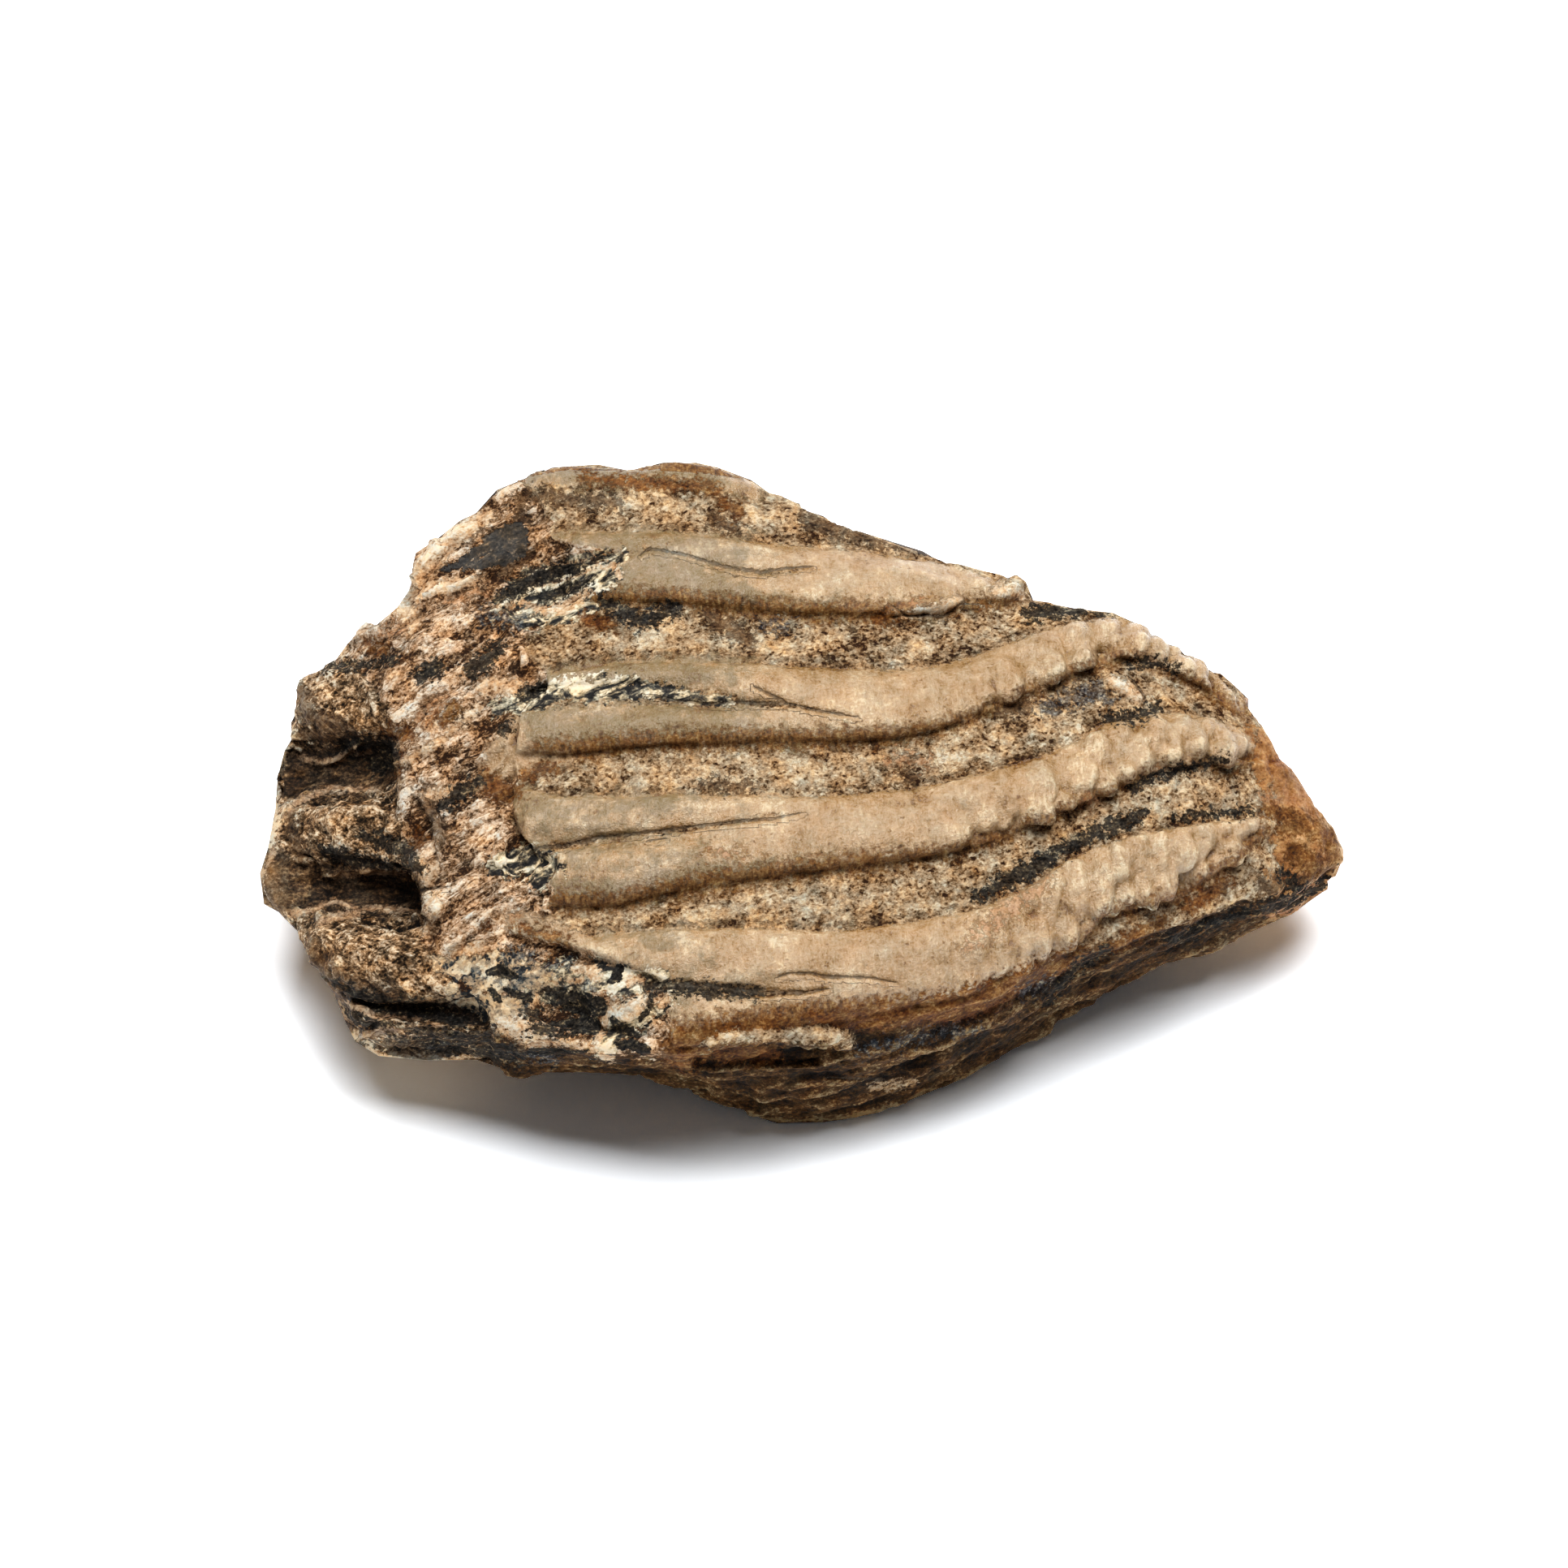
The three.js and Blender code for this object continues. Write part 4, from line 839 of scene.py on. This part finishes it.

# Each look: how much of each grain it has (the high grain is painted shade and light: darker in hollows
# and creases, lighter on lumps and knob tops), its colours from its darkest places to its lightest, its
# roughness, how deep its finest grain is in millimetres, and how much it shines.
SHARES = (0.09, 0.22, 0.36, 0.50, 0.64, 0.78, 0.91)
LOOKS = {
    "cement": (
        dict(speck=1.4, grit=0.5, pit=0.7, mottle=1.6, patch=0.9, high=0.7),
        "2E180A 664A2C 8E7050 AE916E C6A682 DAC097 EED6B2", 0.85, 0.16, 0.1,
    ),
    "warm_enamel": (
        dict(speck=0.8, mottle=1.2, flute=0.8, patch=1.2, high=1.1, dot=0.9),
        "7E5526 A07842 B28C5C BE9A6E C8A67C D4B388 E9D0A8", 0.27, 0.17, 0.8,
    ),
    "grey_enamel": (
        dict(speck=0.8, mottle=1.0, flute=0.6, patch=1.1, high=0.3, dot=0.7),
        "6A4C26 80603C 8E744A 988058 A08866 AA9070 BEA884", 0.3, 0.17, 0.65,
    ),
    # The ridges' lower sides: brown stain with painted shade on the lower flank.
    "foot_stain_and_shade": (
        dict(speck=1.6, flute=1.6, mottle=0.8),
        "341A04 4C2808 66390F 7A4E1E 8C6030 9E7642 B69058", 0.5, 0.1, 0.12,
    ),
    "broken_dentine": (
        dict(splinter=1.6, speck=1.6, chip=0.5, patch=1.0, high=0.8, pit=0.5, crevice=0.7),
        "2C1A0E 68482E 98744F C09A78 DCB894 F0D2B0 FDE8CA", 0.8, 0.16, 0.08,
    ),
    # The front wall: partly its own dark crust, partly painted shade, as its colours are as dark as the
    # wall looks in the shade it stands in; the same colours go round onto the far side.
    "front_wall": (
        dict(streak=1.0, mottle=0.9, speck=1.2, grit=0.3, patch=1.0, high=1.0),
        "080300 1A0D02 2C1A06 422A0D 583A1B 7A5A36 A88C62", 0.65, 0.18, 0.08,
    ),
    "root": (
        dict(thread=1.5, mottle=0.9, speck=1.5, grit=0.3, pit=0.5, patch=1.0, high=1.2),
        "0C0602 2A1C0E 4E3822 7C5E40 B08C66 E0BA92 FCE6C2", 0.75, 0.22, 0.08,
    ),
    # The canals: partly the dark mineral of their floors, partly painted shade of those hollows.
    "canal": (
        dict(fibre=1.5, speck=1.5, patch=0.8, high=0.8),
        "0E0804 1E150C 302216 463424 624A32 866A4A AE8E66", 0.6, 0.12, 0.1,
    ),
    "crown_tip": (
        dict(mottle=1.6, speck=1.0, patch=1.2, high=1.0),
        "5A2A0A 784616 945E2A A8703A BC864A D09C64 E6B884", 0.45, 0.1, 0.2,
    ),
    "marble": (
        dict(swirl=3.2, speck=1.1, high=0.6),
        "050403 1C1915 4C453A 8C8066 D0BC98 F2E0BC FEF0D4", 0.55, 0.12, 0.2,
    ),
    "cream": (
        dict(mottle=1.3, speck=1.4, chip=0.3, pit=0.7, high=0.9),
        "543820 946C48 C09870 D6B088 E6C6A0 F2DAB8 FCECD0", 0.65, 0.12, 0.1,
    ),
    "slate": (
        dict(speck=1.6, mottle=1.4),
        "1A1816 2C2926 383430 433E38 504840 64594C 8E7A64", 0.65, 0.05, 0.08,
    ),
    "flecked": (
        dict(chip=1.0, grit=0.8, speck=0.9, mottle=1.0, high=0.6),
        "16181C 484842 8C785E B09474 C2A680 D2B690 E6CEA8", 0.6, 0.08, 0.15,
    ),
    "tan": (
        dict(mottle=1.0, speck=1.4, high=0.8),
        "4A3320 6C5038 8C6C4E A58363 BE9C78 D4B48E E6CAA6", 0.6, 0.08, 0.2,
    ),
    "orange": (
        dict(speck=1.3, mottle=1.2),
        "7A4420 9A6236 B07848 C08A5C CE9C70 DAAC82 E6BE98", 0.55, 0.06, 0.3,
    ),
    "brown": (
        dict(speck=1.4, mottle=1.2, thread=0.8, high=0.3),
        "1A1009 2C1C10 443020 584029 6C5238 866A4C A4886A", 0.75, 0.1, 0.1,
    ),
    "rust": (
        dict(speck=1.3, mottle=1.2, high=0.6),
        "1A0900 381C06 50290A 6A3E12 86582A A67A44 C89E6C", 0.65, 0.1, 0.1,
    ),
    # Blue-black manganese, and on the front wall one painted sheen line.
    "blue_black_and_sheen": (
        dict(speck=2.2, mottle=1.8),
        "060608 16181C 262A30 3A4044 56585A 827F76 C4B698", 0.7, 0.08, 0.08,
    ),
    # Black manganese; through its first line and the plank's start this look also paints shadow and shade.
    "charcoal_and_shadow": (
        dict(speck=2.0, streak=1.2, mottle=1.2),
        "050403 12100D 1E1B17 2C2824 3A342C 544A38 A08A6A", 0.75, 0.1, 0.05,
    ),
    "seam": (
        dict(speck=1.7, mottle=0.8),
        "120A04 22150A 382410 4C341C 604628 785A38 8E6E48", 0.8, 0.05, 0.1,
    ),
    "crack": (
        dict(speck=1.5, patch=1.0),
        "140E08 241C14 362C22 483E32 5A5042 6E6454 8A7E6C", 0.8, 0.0, 0.1,
    ),
}
looks = {}
for name, (weights, colours, roughness, depth, shine) in LOOKS.items():
    value = 0.5 - sum(weights.values()) / 2
    for grain, weight in weights.items():
        value = add("Math", {0: grains[grain], 1: weight, 2: value}, operation="MULTIPLY_ADD")
    ramp = add("ValToRGB", {"Fac": value}, stops=list(zip(SHARES, colours.split())))
    looks[name] = (ramp, [roughness, depth, shine, 1])

# Over the cement, one on another: each look and the field that says where it lies, how far past its
# line it reaches and how ragged its edge is in millimetres, which grain frays it, how soft the edge is in
# millimetres, and how much it hides. A look in THIN_LINES lies on both sides of its line.
LAYERS = [
    ("warm_enamel", "enamel", 0.0, 0.3, "fine_rag", 0.12, 1.0),
    ("grey_enamel", "grey_enamel", 0.0, 1.6, "wide_rag", 1.4, 1.0),
    ("foot_stain_and_shade", "foot_stain_and_shade", 0.45, 1.2, "fine_rag", 1.1, 0.88),
    ("seam", "seam", 0.04, 0.6, "fine_rag", 0.2, 0.35),
    ("broken_dentine", "broken", 0.0, 0.8, "rag", 0.15, 1.0),
    ("front_wall", "front_wall", 0.0, 0.8, "rag", 0.3, 1.0),
    ("root", "root", 0.0, 0.9, "rag", 0.3, 1.0),
    # The canal layer's ragged soft edge carries its painted shade a little way up the lobes beside the
    # canals.
    ("canal", "canal", 0.2, 1.2, "rag", 0.9, 0.95),
    ("crown_tip", "crown_tip", 0.0, 2.4, "wide_rag", 1.0, 0.9),
    ("brown", "brown", 0.0, 1.3, "fine_rag", 0.4, 0.85),
    ("marble", "marble", 0.0, 1.0, "rag", 0.15, 1.0),
    ("flecked", "flecked", 0.0, 1.0, "rag", 0.3, 1.0),
    ("warm_enamel", "enamel_end", 0.2, 0.7, "fine_rag", 0.9, 0.9),
    ("orange", "orange", 0.0, 1.8, "fine_rag", 0.8, 0.6),
    ("rust", "rust", 0.25, 1.0, "fine_rag", 0.6, 0.92),
    ("blue_black_and_sheen", "blue_black_and_sheen", 0.1, 1.8, "fine_rag", 0.6, 0.75),
    ("cream", "cream", 0.0, 0.6, "fine_rag", 0.2, 0.92),
    ("cement", "crust", 0.0, 0.6, "fine_rag", 0.2, 0.95),
    ("charcoal_and_shadow", "charcoal_and_shadow", 0.12, 1.1, "fine_rag", 0.2, 0.96),
    ("charcoal_and_shadow", "plank_and_rim_shade", 0.0, 1.0, "fine_rag", 0.3, 0.85),
    ("slate", "wedge", 0.0, 0.35, "fine_rag", 0.08, 1.0),
    ("charcoal_and_shadow", "slate", 0.0, 0.25, "fine_rag", 0.06, 1.0),
    ("tan", "tan", 0.05, 0.4, "fine_rag", 0.2, 0.85),
    ("crack", "crack", 0.7, 1.0, "fine_rag", 0.9, 0.7),
]
THIN_LINES = ("seam", "crack")
colour, finish = looks["cement"]
for name, field, reach, ragged, rag, soft, cover in LAYERS:
    inside = add("Attribute", {}, attribute_name=field).outputs["Fac"]
    if name in THIN_LINES:
        distance = add("Math", {0: inside}, operation="ABSOLUTE")
        inside = add("Math", {0: 0.0, 1: distance}, operation="SUBTRACT")
    shifted = add("Math", {0: grains[rag], 1: 4 * ragged, 2: reach - 2 * ragged}, operation="MULTIPLY_ADD")
    reached = add("Math", {0: inside, 1: shifted}, operation="ADD")
    edge = {"Value": reached, "From Min": -soft / 2, "From Max": soft / 2, "To Max": cover}
    share = add("MapRange", edge, interpolation_type="SMOOTHSTEP")
    over_colour, over_finish = looks[name]
    colour = add("Mix", {0: share, 6: colour, 7: over_colour}, data_type="RGBA").outputs[2]
    finish = add("Mix", {0: share, 6: finish, 7: over_finish}, data_type="RGBA").outputs[2]

# Its minerals vary in hue from spot to spot, more in the rough looks than in the smooth ones. The light
# burns out the white table, so every colour is a little darker than it looks.
BURNT_OUT = 0.75
parts = add("SeparateColor", {"Color": finish})
rough = add("MapRange", {"Value": parts.outputs["Red"], "From Min": 0.45, "From Max": 0.6})
hue = add("TexNoise", {"Vector": on_page, "Scale": 0.5, "Detail": 6, "Roughness": 0.75})
hue = add("Math", {0: hue, 1: 0.5}, operation="SUBTRACT")
spread = add("Math", {0: rough, 1: 0.7, 2: 0.4}, operation="MULTIPLY_ADD")
hue = add("Math", {0: hue, 1: spread}, operation="MULTIPLY")
TO_RUST = (0.7, -0.1, -1.1)
hue = add("VectorMath", {0: hue, 1: TO_RUST, 2: [BURNT_OUT] * 3}, operation="MULTIPLY_ADD")
colour = add("VectorMath", {0: colour, 1: hue}, operation="MULTIPLY")

# Smooth looks are fluted as the enamel is, rough ones flaked.
flaked = add("Math", {0: grains["chip"], 1: 0.8, 2: grains["splinter"]}, operation="MULTIPLY_ADD")
grain = add("Mix", {0: rough, 2: grains["flute"], 3: flaked})
grain = add("Math", {0: grain, 1: grains["speck"]}, operation="ADD")
height = add("Math", {0: grain, 1: parts.outputs["Green"]}, operation="MULTIPLY")
bump = add("Bump", {"Height": height, "Distance": 0.001, "Strength": 1.0})
stone = add(
    "BsdfPrincipled",
    {
        "Base Color": colour,
        "Roughness": parts.outputs["Red"],
        "Specular IOR Level": parts.outputs["Blue"],
        "Normal": bump,
        "IOR": 1.5,
    },
)
add("OutputMaterial", {"Surface": stone})
tooth.data.materials.append(material)
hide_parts("molar_slice")
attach(tooth, "root")

# Floor, light and camera
# The tooth lies on a plain white table under one broad soft light, nearly overhead and a little behind
# it, in a dim white room. The camera looks down on it from in front, from far off.
bpy.ops.mesh.primitive_plane_add(size=8, location=(0, 0, 0))
floor = bpy.context.object
floor.name = "table_top"
paper = bpy.data.materials.new("matt_white_paper")
paper.use_nodes = True
sheet = paper.node_tree.nodes["Principled BSDF"].inputs
sheet["Base Color"].default_value = (1.55, 1.6, 1.66, 1)
sheet["Roughness"].default_value = 0.9
floor.data.materials.append(paper)

room = bpy.data.worlds.new("bright_room")
room.use_nodes = True
air = room.node_tree.nodes["Background"].inputs
air["Color"].default_value = (1, 1, 1, 1)
air["Strength"].default_value = 0.08
bpy.context.scene.world = room
bpy.context.scene.view_settings.view_transform = "Standard"

lamp = bpy.data.lights.new("broad_key", "AREA")
lamp.energy = 15.4
lamp.shape = "RECTANGLE"
lamp.size = 0.7
lamp.size_y = 0.55
light = bpy.data.objects.new("broad_key", lamp)
light.location = (0.03, 0.13, 0.9)
light.rotation_euler = (-light.location).to_track_quat("-Z", "Y").to_euler()
light.visible_camera = False
bpy.context.collection.objects.link(light)

# Metres: across the picture at the tooth, to the camera, and from the page's zero to what it looks at.
FIELD_WIDTH = 0.1288
DISTANCE = 3.0
RIGHT, UP, OUT = -0.0014667, 0.00073333, 0.017
out_of_page = Vector(OUT_OF_PAGE)
target = Vector((RIGHT, PAGE_Y / 1000, 0)) + Vector(UP_THE_PAGE) * UP + out_of_page * OUT
lens_data = bpy.data.cameras.new("long_lens")
lens_data.sensor_width = 36
lens_data.lens = lens_data.sensor_width * DISTANCE / FIELD_WIDTH
lens_data.clip_end = 20
camera = bpy.data.objects.new("camera", lens_data)
camera.location = target + out_of_page * DISTANCE
camera.rotation_euler = (math.pi / 2 - LOOK_DOWN, 0, 0)
bpy.context.collection.objects.link(camera)
bpy.context.scene.camera = camera
